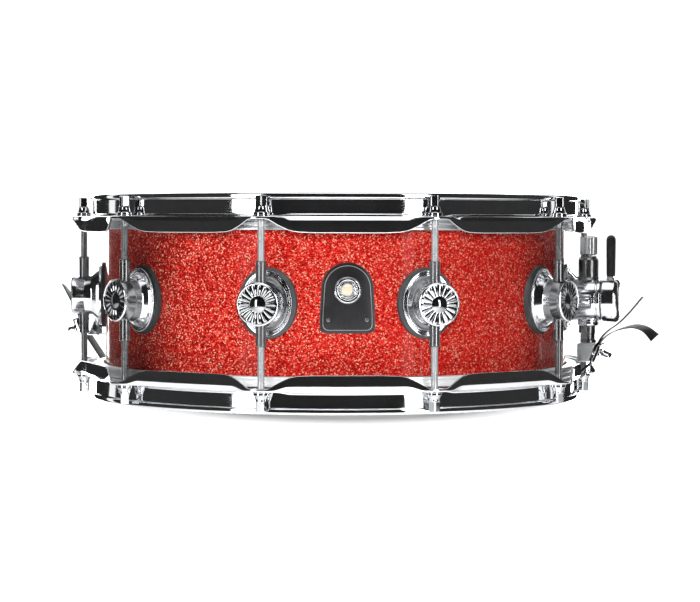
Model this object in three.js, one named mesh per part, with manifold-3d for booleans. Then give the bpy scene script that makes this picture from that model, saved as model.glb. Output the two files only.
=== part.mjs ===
// A 14 x 5.5 inch snare drum: ten tube lugs, twenty tension rods, two flanged hoops,
// a lever strainer, a butt clamp and a twenty-strand set of snare wires.
// Millimetres, +Z up. The origin is on the drum's axis, on the plane of the lower hoop's lip.
// The badge faces -Y. Every outline around the drum is given as [radius, height] pairs.

import * as THREE from 'three';
import { mergeVertices } from 'three/addons/utils/BufferGeometryUtils.js';
import Module from 'manifold-3d';

// ---------------------------------------------------------------- driving dimensions

const DRUM_HEIGHT = 154; // lip to lip
const GAP = 0.3; // left between pieces that touch

const SHELL = { outer: 177.4, inner: 170.2, depth: 139.7, vent: 6.6 };
// The shell's bearing edge: a short slope outside its peak and a long one inside.
const BEARING = { outerStep: 1.8, outerDrop: 3.4, innerStep: 0.3, innerDrop: 5, foot: 5.6 };
const WRAP = { inner: 177.7, outer: 178.2, margin: 5 };
const FILM = { thickness: 0.5, inner: 178.6, outer: 179.2, collar: 23, flat: 176.4, turn: 3 };
const FLESH_HOOP = { inner: 179.6, outer: 187, top: 18.7, bottom: 26 };

const LUG_COUNT = 10;
const LUG_STEP = 360 / LUG_COUNT;
const LUG_HEIGHT = 77; // centre of the casting above the floor
const ROD_CIRCLE = 194.8;
const SEAT = WRAP.outer + GAP; // flat backs of everything bolted to the shell
// The oval foot that the lugs and the strainer share: its gasket, its rim and the neck above.
const FOOT = {
  from: SEAT + 2.4, to: SEAT + 4.6, gasket: { halfWidth: 21.2, halfHeight: 25.1 },
  rim: { halfWidth: 18.6, halfHeight: 23.2 }, neck: { halfWidth: 16.2, halfHeight: 19.4 },
  neckRise: 2,
};
// The lug's round barrel starts a rise above the foot and ends in a chamfered face.
const LUG_BARREL = { radius: 15.3, rise: 5.8, shoulder: 203, face: 204.2, faceRadius: 14 };

// Hoop sections are measured from the lip: radius outwards, depth towards the other hoop.
const HOOP = {
  inner: 185.6, wall: 188, lip: 189.8, lipDepth: 4.2, lipEdge: 0.6, ledge: 16.3, sheet: 2.1,
  bendOut: 1.4, bendDrop: 1.8, skirt: 195, skirtDepth: 28, ear: 204, earHole: 3.4,
};
const EAR_DRILL = { from: 12, to: 22 }; // depth from the lip
// Angle from a lug, outer radius and skirt depth there: the ear plate, its hood, the span.
const HOOP_STATIONS = [
  { angle: -11, radius: 195.6, depth: 28 },
  { angle: -6, radius: 198, depth: 26.5 },
  { angle: -1.9, radius: HOOP.ear, depth: HOOP.ledge + HOOP.sheet },
  { angle: 1.9, radius: HOOP.ear, depth: HOOP.ledge + HOOP.sheet },
  { angle: 6, radius: 198, depth: 26.5 },
  { angle: 11, radius: 195.6, depth: 28 },
  { angle: 18, radius: HOOP.skirt, depth: HOOP.skirtDepth },
];
// Snare gates cut through the lower hoop.
const GATE = { halfWidth: 14.5, inner: 184, outer: 206, from: 4.6, to: 30 };

const ROD = { radius: 2.5, bore: 3.15, flange: 5.5, square: 3.1, length: 56 };
const ROD_HEAD = { seat: 16, flangeTop: 13.6, collarTop: 10, top: 2 }; // depth from the lip
const SLEEVE = { radius: 3.9, length: 59 };

const STRAINER_ANGLE = -18;
const BUTT_ANGLE = 162;
const PIVOT_HEIGHT = 75.5;
const COLUMN_RADIUS = 198; // distance of the strainer's vertical axis from the drum's axis
const BARREL = { radius: 16.1, from: 184, to: 208.6 };
const HUB = { radius: 16.8, from: 209, to: 222.3 };
const PIVOT = { pin: 4, bore: 4.5, from: 205, to: 214.2, clear: 0.4 };
const GRIP = { radius: 214.9, halfDepth: 2.9, halfWidth: 6, from: 92.8, to: 124.4 };
const STEM = { halfDepth: 1.2, halfWidth: 3.2, from: 88, to: 112, room: 0.4 }; // inside the grip
const KNOB = { radius: 6.55, from: 109, to: 123.7, edge: 0.6 };
const COLUMN = { radius: 7.5, top: 108.6, guide: 8, guideFrom: 56, core: 12, coreRise: 6 };
const CARRIAGE = { shaft: 5, bore: 5.6, shaftFrom: 42, shaftTo: 66, boreTo: 72, back: 191.5 };
const ADJUSTER = { radius: 2.3, bore: 2.8, from: 53, to: 118, threadFrom: 49, threadTo: 70 };

const CLAMP = { tilt: 21.5, halfHeight: 7.5, halfWidth: 13, screwOffset: 9.6, plate: 2.6 };
const STRAINER_CLAMP = { radius: 202.7, height: 36.3, stack: 2.1 };
const BUTT_CLAMP = { radius: 208, height: 50, stack: 1.5 };
const CLAMP_SCREW = {
  shank: 1.7, hole: 2.2, depth: 6.5, flange: 3.4, rim: 1.3, square: 2.3, tip: 7.3,
};
const BUTT_PLATE = {
  halfWidth: 15, from: 38, to: 90, inner: SEAT + 2.4, outer: SEAT + 5.6, corner: 6,
};
const BUTT_GASKET = { thickness: 2.1, margin: 2 };
const BUTT_ARM = { inner: SEAT + 4, outer: 198, halfWidth: 9, from: 43.5, to: 66, jawBack: 192 };

const STRAP = { halfWidth: 6.5, layer: 0.6, folded: 0.9 };
const WIRES = { count: 20, pitch: 2.1, strand: 1.6, top: 6.05 };
const END_PLATE = { from: 150, to: 166, low: 3.85, high: 5.55, edge: 0.4, overlap: 4 };

const BADGE = {
  halfWidth: 19.4, archRadius: 18.2, bottom: 56.2, top: 105.6, thickness: 1.2, corner: 7,
};
const VENT = { height: 86.3, flange: 9.7, tube: 6, bore: 4, proud: 2.4, edge: 1, inside: 168.5 };
const VENT_DRILL = { from: 160, to: 190 };

const RING_SIDES = 50;

// ---------------------------------------------------------------- materials

const paint = (color, roughness, metalness) => () => (
  new THREE.MeshStandardMaterial({ color, roughness, metalness }));
const finish = {
  chrome: paint(0xc9ccd0, 0.12, 1),
  rubber: paint(0x3a3b3c, 0.75, 0),
  maple: paint(0xd9b27c, 0.5, 0),
  sparkle: paint(0xc8281e, 0.25, 0.4),
  coated: paint(0xf1f0ea, 0.8, 0),
  clear: paint(0xe6e9ea, 0.2, 0),
  aluminium: paint(0xb9bcbf, 0.35, 1),
  gunmetal: paint(0x3c3c3e, 0.45, 0.8),
  satin: paint(0x9a9b9c, 0.45, 1),
  tape: paint(0x17181a, 0.5, 0),
};

// ---------------------------------------------------------------- solids

const wasm = await Module();
wasm.setup();

const radians = THREE.MathUtils.degToRad;

// Merges shared vertices, drops empty triangles and turns the faces outwards.
function welded(geometry) {
  const plain = geometry.clone();
  plain.deleteAttribute('normal');
  plain.deleteAttribute('uv');
  const merged = mergeVertices(plain);
  const source = Array.from(merged.index.array);
  const index = [];
  const a = new THREE.Vector3();
  const b = new THREE.Vector3();
  const c = new THREE.Vector3();
  let volume = 0;
  for (let i = 0; i < source.length; i += 3) {
    const [p, q, r] = source.slice(i, i + 3);
    if (p === q || q === r || r === p) continue;
    index.push(p, q, r);
    a.fromBufferAttribute(merged.attributes.position, p);
    b.fromBufferAttribute(merged.attributes.position, q);
    c.fromBufferAttribute(merged.attributes.position, r);
    volume += a.dot(b.cross(c));
  }
  merged.setIndex(volume < 0 ? index.reverse() : index);
  return merged;
}

function manifoldOf(geometry) {
  const plain = welded(geometry);
  return new wasm.Manifold(new wasm.Mesh({
    numProp: 3,
    vertProperties: new Float32Array(plain.attributes.position.array),
    triVerts: new Uint32Array(plain.index.array),
  }));
}

function geometryOf(manifold) {
  const mesh = manifold.getMesh();
  const geometry = new THREE.BufferGeometry();
  geometry.setAttribute('position', new THREE.BufferAttribute(mesh.vertProperties, 3));
  geometry.setIndex(new THREE.BufferAttribute(mesh.triVerts, 1));
  return geometry;
}

function combine(first, others, operation) {
  let solid = manifoldOf(first);
  for (const other of others) solid = solid[operation](manifoldOf(other));
  return geometryOf(solid);
}

const join = (first, ...others) => combine(first, others, 'add');
const cut = (first, ...others) => combine(first, others, 'subtract');

// A body turned about Z from an outline of [radius, height] pairs.
function turned(outline, sides) {
  const points = outline.map(([radius, height]) => new THREE.Vector2(radius, height));
  return new THREE.LatheGeometry(points, sides).rotateX(Math.PI / 2);
}

const ring = (outline) => turned([...outline, outline[0]], RING_SIDES);

// A plain cylinder standing on Z between two heights.
function post(radius, from, to, sides = 12) {
  return turned([[0, from], [radius, from], [radius, to], [0, to]], sides);
}

// The same cylinder lying along X, centred at a height.
function axle(radius, from, to, height, sides = 16) {
  return post(radius, from, to, sides).rotateY(Math.PI / 2).translate(0, 0, height);
}

function block(x0, x1, halfWidth, z0, z1) {
  const box = new THREE.BoxGeometry(x1 - x0, 2 * halfWidth, z1 - z0);
  return box.translate((x0 + x1) / 2, 0, (z0 + z1) / 2);
}

// Joins a row of rings, each a list of Vector3, with flat ends, or round to the first ring.
function loft(rings, closed = false) {
  const sides = rings[0].length;
  const points = rings.flat();
  const index = [];
  const bands = closed ? rings.length : rings.length - 1;
  for (let band = 0; band < bands; band += 1) {
    const next = (band + 1) % rings.length;
    for (let side = 0; side < sides; side += 1) {
      const a = band * sides + side;
      const b = band * sides + (side + 1) % sides;
      const c = next * sides + side;
      const d = next * sides + (side + 1) % sides;
      index.push(a, b, d, a, d, c);
    }
  }
  if (!closed) {
    const last = (rings.length - 1) * sides;
    for (let side = 1; side < sides - 1; side += 1) {
      index.push(0, side + 1, side, last, last + side, last + side + 1);
    }
  }
  const geometry = new THREE.BufferGeometry().setFromPoints(points);
  return geometry.setIndex(index);
}

// An eight-point ring on Z: round, or square when the corners reach further out.
function eightPoints(radius, height, square = false) {
  return Array.from({ length: 8 }, (_, i) => {
    const reach = square && i % 2 === 1 ? radius * Math.SQRT2 : radius;
    const angle = i * Math.PI / 4;
    return new THREE.Vector3(reach * Math.cos(angle), reach * Math.sin(angle), height);
  });
}

// An upright oval at a distance along X.
function oval(x, halfWidth, halfHeight, sides = 10) {
  return Array.from({ length: sides }, (_, i) => {
    const angle = 2 * Math.PI * i / sides;
    return new THREE.Vector3(x, halfWidth * Math.cos(angle), halfHeight * Math.sin(angle));
  });
}

// A plate with rounded corners standing in the YZ plane, from x0 to x1.
function roundedPlate(x0, x1, halfWidth, z0, z1, corner) {
  const shape = new THREE.Shape();
  shape.absarc(halfWidth - corner, z1 - corner, corner, 0, Math.PI / 2);
  shape.absarc(corner - halfWidth, z1 - corner, corner, Math.PI / 2, Math.PI);
  shape.absarc(corner - halfWidth, z0 + corner, corner, Math.PI, 1.5 * Math.PI);
  shape.absarc(halfWidth - corner, z0 + corner, corner, 1.5 * Math.PI, 2 * Math.PI);
  return upright(shape, x0, x1);
}

// Extrudes a shape drawn in width and height so that it runs along X.
function upright(shape, x0, x1) {
  const options = { depth: x1 - x0, bevelEnabled: false, curveSegments: 4 };
  const plate = new THREE.ExtrudeGeometry(shape, options);
  return plate.rotateX(Math.PI / 2).rotateZ(Math.PI / 2).translate(x0, 0, 0);
}

// ---------------------------------------------------------------- scene graph

const drum = new THREE.Group();

function place(name, geometry, material, angle = 0) {
  const mesh = new THREE.Mesh(welded(geometry), finish[material]());
  mesh.name = name;
  mesh.rotation.z = radians(angle);
  drum.add(mesh);
}

// Mirrors a [radius, depth] outline measured from a lip to that hoop's own end of the drum.
const atTop = (outline) => outline.map(([radius, depth]) => [radius, DRUM_HEIGHT - depth]);
const atBottom = (outline) => outline;

// ---------------------------------------------------------------- shell

function shellBody() {
  const edge = (DRUM_HEIGHT - SHELL.depth) / 2;
  const { outerStep, outerDrop, innerStep, innerDrop, foot } = BEARING;
  const half = [
    [SHELL.outer, edge + outerDrop], [SHELL.outer - outerStep, edge],
    [SHELL.inner + innerStep, edge + innerDrop], [SHELL.inner, edge + foot],
  ];
  return ring([...atTop(half), ...atBottom(half).reverse()]);
}

function wrapBody() {
  const low = (DRUM_HEIGHT - SHELL.depth) / 2 + WRAP.margin;
  const high = DRUM_HEIGHT - low;
  return ring([[WRAP.inner, low], [WRAP.outer, low], [WRAP.outer, high], [WRAP.inner, high]]);
}

function buildShell() {
  const ventDrill = axle(SHELL.vent, VENT_DRILL.from, VENT_DRILL.to, VENT.height, 12)
    .rotateZ(radians(-90));
  place('shell', cut(shellBody(), ventDrill), 'maple');
  place('shell_wrap', cut(wrapBody(), ventDrill), 'sparkle');
}

function badgeShape() {
  const { halfWidth, archRadius, bottom, top, corner } = BADGE;
  const shape = new THREE.Shape();
  shape.moveTo(archRadius, top - archRadius);
  shape.absarc(0, top - archRadius, archRadius, 0, Math.PI);
  shape.lineTo(-halfWidth, bottom + corner);
  shape.absarc(corner - halfWidth, bottom + corner, corner, Math.PI, 1.5 * Math.PI);
  shape.absarc(halfWidth - corner, bottom + corner, corner, 1.5 * Math.PI, 2 * Math.PI);
  return shape;
}

function buildBadge() {
  const face = SEAT + BADGE.thickness;
  const plate = upright(badgeShape(), SEAT, face);
  const ventDrill = axle(SHELL.vent, VENT_DRILL.from, VENT_DRILL.to, VENT.height, 12);
  place('badge', cut(plate, ventDrill), 'gunmetal', -90);
  const front = face + GAP;
  const { height, flange, tube, bore, proud, edge, inside } = VENT;
  const outline = [
    [bore, inside], [tube, inside], [tube, front], [flange, front],
    [flange - edge, front + proud], [bore, front + proud], [bore, inside],
  ];
  const grommet = turned(outline, 12).rotateY(Math.PI / 2).translate(0, 0, height);
  place('vent_grommet', grommet, 'chrome', -90);
}

// ---------------------------------------------------------------- drumheads and hoops

function filmOutline() {
  const edge = (DRUM_HEIGHT - SHELL.depth) / 2 - GAP;
  const { thickness, inner, outer, collar, flat, turn } = FILM;
  const face = edge - thickness;
  return [
    [0, face], [flat, face], [outer, face + turn], [outer, collar],
    [inner, collar], [inner, edge + turn], [flat, edge], [0, edge],
  ];
}

function fleshHoopOutline() {
  const { inner, outer, top, bottom } = FLESH_HOOP;
  return [[inner, top], [outer, top], [outer, bottom], [inner, bottom]];
}

// One closed section of the hoop at an angle, as [radius, depth] pairs.
function hoopSection({ radius, depth }) {
  const under = HOOP.ledge + HOOP.sheet;
  const inside = radius - HOOP.sheet;
  return [
    [HOOP.inner, 0], [HOOP.lip, 0], [HOOP.lip, HOOP.lipDepth - HOOP.lipEdge],
    [HOOP.wall, HOOP.lipDepth], [HOOP.wall, HOOP.ledge - HOOP.bendDrop],
    [HOOP.wall + HOOP.bendOut, HOOP.ledge], [radius, HOOP.ledge], [radius, depth],
    [inside, depth], [inside - 0.1, under], [HOOP.inner, under],
  ];
}

function hoopBody(atEnd) {
  const sections = [];
  for (let lug = 0; lug < LUG_COUNT; lug += 1) {
    for (const station of HOOP_STATIONS) {
      const angle = radians(lug * LUG_STEP + station.angle);
      sections.push(atEnd(hoopSection(station)).map(([radius, height]) => (
        new THREE.Vector3(radius * Math.cos(angle), radius * Math.sin(angle), height))));
    }
  }
  return loft(sections, true);
}

function earDrills(atEnd) {
  const [[, low], [, high]] = atEnd([[0, EAR_DRILL.from], [0, EAR_DRILL.to]]);
  return Array.from({ length: LUG_COUNT }, (_, lug) => (
    post(HOOP.earHole, Math.min(low, high), Math.max(low, high), 8)
      .translate(ROD_CIRCLE, 0, 0).rotateZ(radians(lug * LUG_STEP))));
}

function buildHeadsAndHoops() {
  place('batter_head_film', turned(atTop(filmOutline()), RING_SIDES), 'coated');
  place('snare_head_film', turned(atBottom(filmOutline()), RING_SIDES), 'clear');
  place('batter_flesh_hoop', ring(atTop(fleshHoopOutline())), 'aluminium');
  place('snare_flesh_hoop', ring(atBottom(fleshHoopOutline())), 'aluminium');
  place('batter_hoop', cut(hoopBody(atTop), ...earDrills(atTop)), 'chrome');
  const gates = [STRAINER_ANGLE, BUTT_ANGLE].map((angle) => (
    block(GATE.inner, GATE.outer, GATE.halfWidth, GATE.from, GATE.to).rotateZ(radians(angle))));
  place('snare_hoop', cut(hoopBody(atBottom), ...earDrills(atBottom), ...gates), 'chrome');
}

// ---------------------------------------------------------------- lugs and tension rods

// An oval of a foot's outline, at its bolting face or higher.
const footOval = (x, { halfWidth, halfHeight }) => oval(x, halfWidth, halfHeight);

// Gasket, oval foot, trumpet flare and round barrel in one casting, with its threaded sleeve.
function lugBody() {
  const { radius, rise, shoulder, face, faceRadius } = LUG_BARREL;
  const casting = loft([
    footOval(SEAT, FOOT.gasket), footOval(FOOT.from, FOOT.gasket), footOval(FOOT.from, FOOT.rim),
    footOval(FOOT.to, FOOT.rim), footOval(FOOT.to + FOOT.neckRise, FOOT.neck),
    oval(FOOT.to + rise, radius, radius), oval(shoulder, radius, radius),
    oval(face, faceRadius, faceRadius),
  ]);
  const half = SLEEVE.length / 2;
  const sleeve = post(SLEEVE.radius, -half, half, 8).translate(ROD_CIRCLE, 0, 0);
  const bore = post(ROD.bore, -half - 1, half + 1, 8).translate(ROD_CIRCLE, 0, 0);
  return cut(join(casting, sleeve), bore);
}

function rodBody() {
  const { seat, flangeTop, collarTop, top } = ROD_HEAD;
  return loft([
    eightPoints(ROD.radius, seat + ROD.length), eightPoints(ROD.radius, seat),
    eightPoints(ROD.flange, seat), eightPoints(ROD.flange, flangeTop),
    eightPoints(ROD.square, collarTop, true), eightPoints(ROD.square, top, true),
  ]).translate(ROD_CIRCLE, 0, 0);
}

function buildLugsAndRods() {
  const lug = lugBody().translate(0, 0, LUG_HEIGHT);
  const lower = rodBody();
  const upper = rodBody().scale(1, 1, -1).translate(0, 0, DRUM_HEIGHT);
  for (let i = 0; i < LUG_COUNT; i += 1) {
    const angle = i * LUG_STEP;
    place(`lug_${i + 1}`, lug, 'chrome', angle);
    place(`batter_rod_${i + 1}`, upper, 'chrome', angle);
    place(`snare_rod_${i + 1}`, lower, 'chrome', angle);
  }
}

// ---------------------------------------------------------------- strap clamps

// Places a piece drawn with its clamping face at x = 0 onto a tilted clamp.
function onClamp(geometry, clamp) {
  return geometry.rotateY(radians(CLAMP.tilt)).translate(clamp.radius, 0, clamp.height);
}

// The jaw behind the clamping face, reaching back to a given distance.
function jaw(clamp, back) {
  const tilt = radians(CLAMP.tilt);
  const reach = [Math.sin(tilt) * CLAMP.halfHeight, Math.cos(tilt) * CLAMP.halfHeight];
  const low = clamp.height - reach[1];
  const high = clamp.height + reach[1];
  const shape = new THREE.Shape([
    new THREE.Vector2(back, low), new THREE.Vector2(clamp.radius - reach[0], low),
    new THREE.Vector2(clamp.radius + reach[0], high), new THREE.Vector2(back, high),
  ]);
  const options = { depth: 2 * CLAMP.halfWidth, bevelEnabled: false };
  const body = new THREE.ExtrudeGeometry(shape, options);
  return body.rotateX(Math.PI / 2).translate(0, CLAMP.halfWidth, 0);
}

function screwHoles(clamp) {
  return [-1, 1].map((side) => {
    const drill = post(CLAMP_SCREW.hole, -CLAMP_SCREW.depth - 1, 12, 8).rotateY(Math.PI / 2);
    return onClamp(drill.translate(0, side * CLAMP.screwOffset, 0), clamp);
  });
}

function buildClampFasteners(prefix, clamp, angle) {
  const { halfHeight, halfWidth, plate, screwOffset } = CLAMP;
  const cover = block(clamp.stack, clamp.stack + plate, halfWidth, -halfHeight, halfHeight);
  place(`${prefix}_clamp_plate`, cut(onClamp(cover, clamp), ...screwHoles(clamp)), 'chrome', angle);
  const seat = clamp.stack + plate + GAP;
  const { shank, depth, flange, rim, square, tip } = CLAMP_SCREW;
  [-1, 1].forEach((side, i) => {
    const screw = loft([
      eightPoints(shank, -depth), eightPoints(shank, seat), eightPoints(flange, seat),
      eightPoints(flange, seat + rim), eightPoints(square, seat + rim, true),
      eightPoints(square, seat + tip, true),
    ]).rotateY(Math.PI / 2).translate(0, side * screwOffset, 0);
    place(`${prefix}_clamp_screw_${i + 1}`, onClamp(screw, clamp), 'chrome', angle);
  });
}

// ---------------------------------------------------------------- strainer

function strainerHousing() {
  const foot = loft([
    footOval(FOOT.from, FOOT.rim), footOval(FOOT.to, FOOT.rim),
    footOval(FOOT.to + FOOT.neckRise, FOOT.neck),
    oval(FOOT.to + COLUMN.coreRise, COLUMN.core, COLUMN.core),
  ]).translate(0, 0, LUG_HEIGHT);
  const barrel = axle(BARREL.radius, BARREL.from, BARREL.to, PIVOT_HEIGHT);
  const onColumn = (solid) => solid.translate(COLUMN_RADIUS, 0, 0);
  const column = onColumn(post(COLUMN.radius, PIVOT_HEIGHT, COLUMN.top));
  const guide = onColumn(post(COLUMN.guide, COLUMN.guideFrom, PIVOT_HEIGHT));
  const shaftBore = onColumn(post(CARRIAGE.bore, COLUMN.guideFrom - 1, CARRIAGE.boreTo));
  const rodBore = onColumn(post(ADJUSTER.bore, CARRIAGE.shaftTo, COLUMN.top + 1, 8));
  const pivotBore = axle(PIVOT.bore, PIVOT.from - PIVOT.clear, BARREL.to + 1, PIVOT_HEIGHT, 12);
  return cut(join(foot, barrel, column, guide), shaftBore, rodBore, pivotBore);
}

function leverHub() {
  const { radius, from, to } = HUB;
  const outline = [
    [0, from], [radius - 0.8, from], [radius, from + 0.8], [radius, to - 3.6],
    [radius - 1.4, to - 1.2], [radius - 4.4, to], [0, to],
  ];
  const cap = turned(outline, 16).rotateY(Math.PI / 2).translate(0, 0, PIVOT_HEIGHT);
  const { halfDepth, halfWidth } = STEM;
  const stem = block(
    GRIP.radius - halfDepth, GRIP.radius + halfDepth, halfWidth, STEM.from, STEM.to);
  const bore = axle(PIVOT.bore, from - 1, PIVOT.to + PIVOT.clear, PIVOT_HEIGHT, 12);
  return cut(join(cap, stem), bore);
}

function leverGrip() {
  const section = (height, depth, width) => Array.from({ length: 12 }, (_, i) => {
    const angle = 2 * Math.PI * i / 12;
    return new THREE.Vector3(
      GRIP.radius + depth * Math.cos(angle), width * Math.sin(angle), height);
  });
  const { halfDepth, halfWidth, from, to } = GRIP;
  const grip = loft([
    section(from, halfDepth, halfWidth - 0.6), section(from + 3, halfDepth + 0.3, halfWidth),
    section(to - 4, halfDepth + 0.6, halfWidth), section(to - 1.2, halfDepth - 0.2, halfWidth - 1.4),
    section(to, halfDepth - 1.5, halfWidth - 3.2),
  ]);
  const reach = STEM.halfDepth + STEM.room;
  const socket = block(
    GRIP.radius - reach, GRIP.radius + reach, STEM.halfWidth + STEM.room, from - 1,
    STEM.to + STEM.room);
  return cut(grip, socket);
}

function carriageBody() {
  const shaft = post(CARRIAGE.shaft, CARRIAGE.shaftFrom, CARRIAGE.shaftTo);
  const clamp = STRAINER_CLAMP;
  const body = join(jaw(clamp, CARRIAGE.back), shaft.translate(COLUMN_RADIUS, 0, 0));
  const thread = post(ADJUSTER.bore, ADJUSTER.threadFrom, ADJUSTER.threadTo, 8)
    .translate(COLUMN_RADIUS, 0, 0);
  return cut(body, thread, ...screwHoles(clamp));
}

function buildStrainer() {
  const angle = STRAINER_ANGLE;
  const column = (geometry) => geometry.translate(COLUMN_RADIUS, 0, 0);
  const gasket = loft([footOval(SEAT, FOOT.gasket), footOval(FOOT.from - GAP, FOOT.gasket)]);
  place('strainer_gasket', gasket.translate(0, 0, LUG_HEIGHT), 'rubber', angle);
  place('strainer_housing', strainerHousing(), 'chrome', angle);
  const pin = axle(PIVOT.pin, PIVOT.from, PIVOT.to, PIVOT_HEIGHT, 12);
  place('strainer_pivot_pin', pin, 'satin', angle);
  place('strainer_lever_hub', leverHub(), 'chrome', angle);
  place('strainer_lever_grip', leverGrip(), 'rubber', angle);
  place('strainer_carriage', carriageBody(), 'chrome', angle);
  const rod = post(ADJUSTER.radius, ADJUSTER.from, ADJUSTER.to, 8);
  place('strainer_adjuster_rod', column(rod), 'satin', angle);
  const { radius, from, to, edge } = KNOB;
  const knob = turned([
    [0, from], [radius - edge, from], [radius, from + edge], [radius, to - edge],
    [radius - edge, to], [0, to],
  ], 12);
  const socket = post(ADJUSTER.bore, from - 1, ADJUSTER.to + GAP, 8);
  place('strainer_knob', column(cut(knob, socket)), 'satin', angle);
  buildClampFasteners('strainer', STRAINER_CLAMP, angle);
}

// ---------------------------------------------------------------- butt plate

function buildButt() {
  const angle = BUTT_ANGLE;
  const { halfWidth, from, to, corner, inner, outer } = BUTT_PLATE;
  const { thickness, margin } = BUTT_GASKET;
  const gasket = roundedPlate(
    SEAT, SEAT + thickness, halfWidth + margin, from - margin, to + margin, corner + 1);
  place('butt_gasket', gasket, 'rubber', angle);
  const plate = roundedPlate(inner, outer, halfWidth, from, to, corner);
  const arm = block(
    BUTT_ARM.inner, BUTT_ARM.outer, BUTT_ARM.halfWidth, BUTT_ARM.from, BUTT_ARM.to);
  const body = join(plate, arm, jaw(BUTT_CLAMP, BUTT_ARM.jawBack));
  place('butt_body', cut(body, ...screwHoles(BUTT_CLAMP)), 'chrome', angle);
  buildClampFasteners('butt', BUTT_CLAMP, angle);
}

// ---------------------------------------------------------------- snare wires and straps

function buildWires() {
  const { count, pitch, strand, top } = WIRES;
  const { from, to, low, high, edge, overlap } = END_PLATE;
  const halfWidth = count * pitch / 2 + edge;
  const bars = Array.from({ length: count }, (_, i) => {
    const bar = block(-from - overlap, from + overlap, strand / 2, top - strand, top);
    return bar.translate(0, (i - (count - 1) / 2) * pitch, 0);
  });
  const set = join(
    block(from, to, halfWidth, low, high), block(-to, -from, halfWidth, low, high), ...bars);
  place('snare_wires', set, 'satin', STRAINER_ANGLE);
}

// A flat strap through [radius, height] points, as wide as the tape, across the radius.
function strapBody(route, thickness, steps) {
  const curve = new THREE.CatmullRomCurve3(
    route.map(([radius, height]) => new THREE.Vector3(radius, 0, height)), false, 'centripetal');
  const section = new THREE.Shape([
    new THREE.Vector2(-STRAP.halfWidth, -thickness / 2),
    new THREE.Vector2(STRAP.halfWidth, -thickness / 2),
    new THREE.Vector2(STRAP.halfWidth, thickness / 2),
    new THREE.Vector2(-STRAP.halfWidth, thickness / 2),
  ]);
  return new THREE.ExtrudeGeometry(section, { steps, extrudePath: curve });
}

// Points along a clamp's face at an offset from it, bottom to top.
function alongClamp(clamp, offset) {
  const tilt = radians(CLAMP.tilt);
  return [-1, 0, 1].map((end) => [
    clamp.radius + offset * Math.cos(tilt) + end * CLAMP.halfHeight * Math.sin(tilt),
    clamp.height - offset * Math.sin(tilt) + end * CLAMP.halfHeight * Math.cos(tilt),
  ]);
}

// From the wires' end plate, out of the hoop's gate and up to the strainer's clamp.
const INNER_LAYER = [
  [166.5, 5.3], [172, 5.3], [176, 5.5], [180, 7.8], [184, 12], [188.4, 17.2], [193.8, 22.6],
];
const OUTER_LAYER = [
  [166.5, 4.2], [172, 4.2], [176.6, 4.5], [180.8, 7], [184.9, 11.3], [189.3, 16.5], [194.7, 21.9],
];
const BUTT_LAYER = [
  [166.5, 4.9], [172, 4.9], [176.3, 5.1], [180.4, 7.4], [184.4, 11.7], [188.6, 17.4],
  [194, 25.4], [200.4, 34.6],
];
const UPPER_TAIL = [
  [209.4, 48.6], [214, 53], [219.4, 56.8], [225, 61.8], [232, 69.6], [239, 78.2],
];
const LOWER_TAIL = [
  [210.8, 47.4], [216.6, 51.4], [224.4, 54.4], [233.4, 56], [241.2, 53.8], [248.4, 47.6],
];
const BUTT_TAIL = [[214.4, 63.2], [218.4, 69.4], [222.6, 75.8], [227.4, 82.6]];

function buildStraps() {
  const innerRoute = [...INNER_LAYER, ...alongClamp(STRAINER_CLAMP, 0.6), ...UPPER_TAIL];
  place('strainer_strap_inner', strapBody(innerRoute, STRAP.layer, 22), 'tape', STRAINER_ANGLE);
  const outerRoute = [...OUTER_LAYER, ...alongClamp(STRAINER_CLAMP, 1.5), ...LOWER_TAIL];
  place('strainer_strap_outer', strapBody(outerRoute, STRAP.layer, 22), 'tape', STRAINER_ANGLE);
  const buttRoute = [...BUTT_LAYER, ...alongClamp(BUTT_CLAMP, 0.75), ...BUTT_TAIL];
  place('butt_strap', strapBody(buttRoute, STRAP.folded, 20), 'tape', BUTT_ANGLE);
}

buildShell();
buildBadge();
buildHeadsAndHoops();
buildLugsAndRods();
buildStrainer();
buildButt();
buildWires();
buildStraps();

export default drum;
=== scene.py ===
"""A 14 x 5.5 inch snare drum with a red sparkle wrap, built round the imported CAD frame.

Shapes are worked out in millimetres and become metres when a mesh is made. Every outline round the
drum is given as (radius, height), and a third number in a corner is the radius of its rounding.
"""

import math

import bmesh
import bpy
from mathutils import Matrix, Vector


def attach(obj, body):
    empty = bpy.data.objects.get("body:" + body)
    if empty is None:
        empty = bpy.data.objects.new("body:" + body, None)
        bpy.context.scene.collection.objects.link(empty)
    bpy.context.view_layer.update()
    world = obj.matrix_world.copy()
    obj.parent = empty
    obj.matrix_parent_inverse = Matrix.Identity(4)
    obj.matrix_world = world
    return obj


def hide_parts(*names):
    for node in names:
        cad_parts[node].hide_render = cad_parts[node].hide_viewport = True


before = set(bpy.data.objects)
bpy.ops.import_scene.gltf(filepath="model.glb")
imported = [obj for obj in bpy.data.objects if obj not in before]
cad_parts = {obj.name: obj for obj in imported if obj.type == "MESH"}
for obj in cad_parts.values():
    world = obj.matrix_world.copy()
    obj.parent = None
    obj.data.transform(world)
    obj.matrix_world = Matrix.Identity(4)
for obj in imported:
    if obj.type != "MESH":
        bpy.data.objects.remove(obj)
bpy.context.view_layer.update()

MM = 0.001
TURN = 2 * math.pi

# ---------------- driving dimensions

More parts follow.
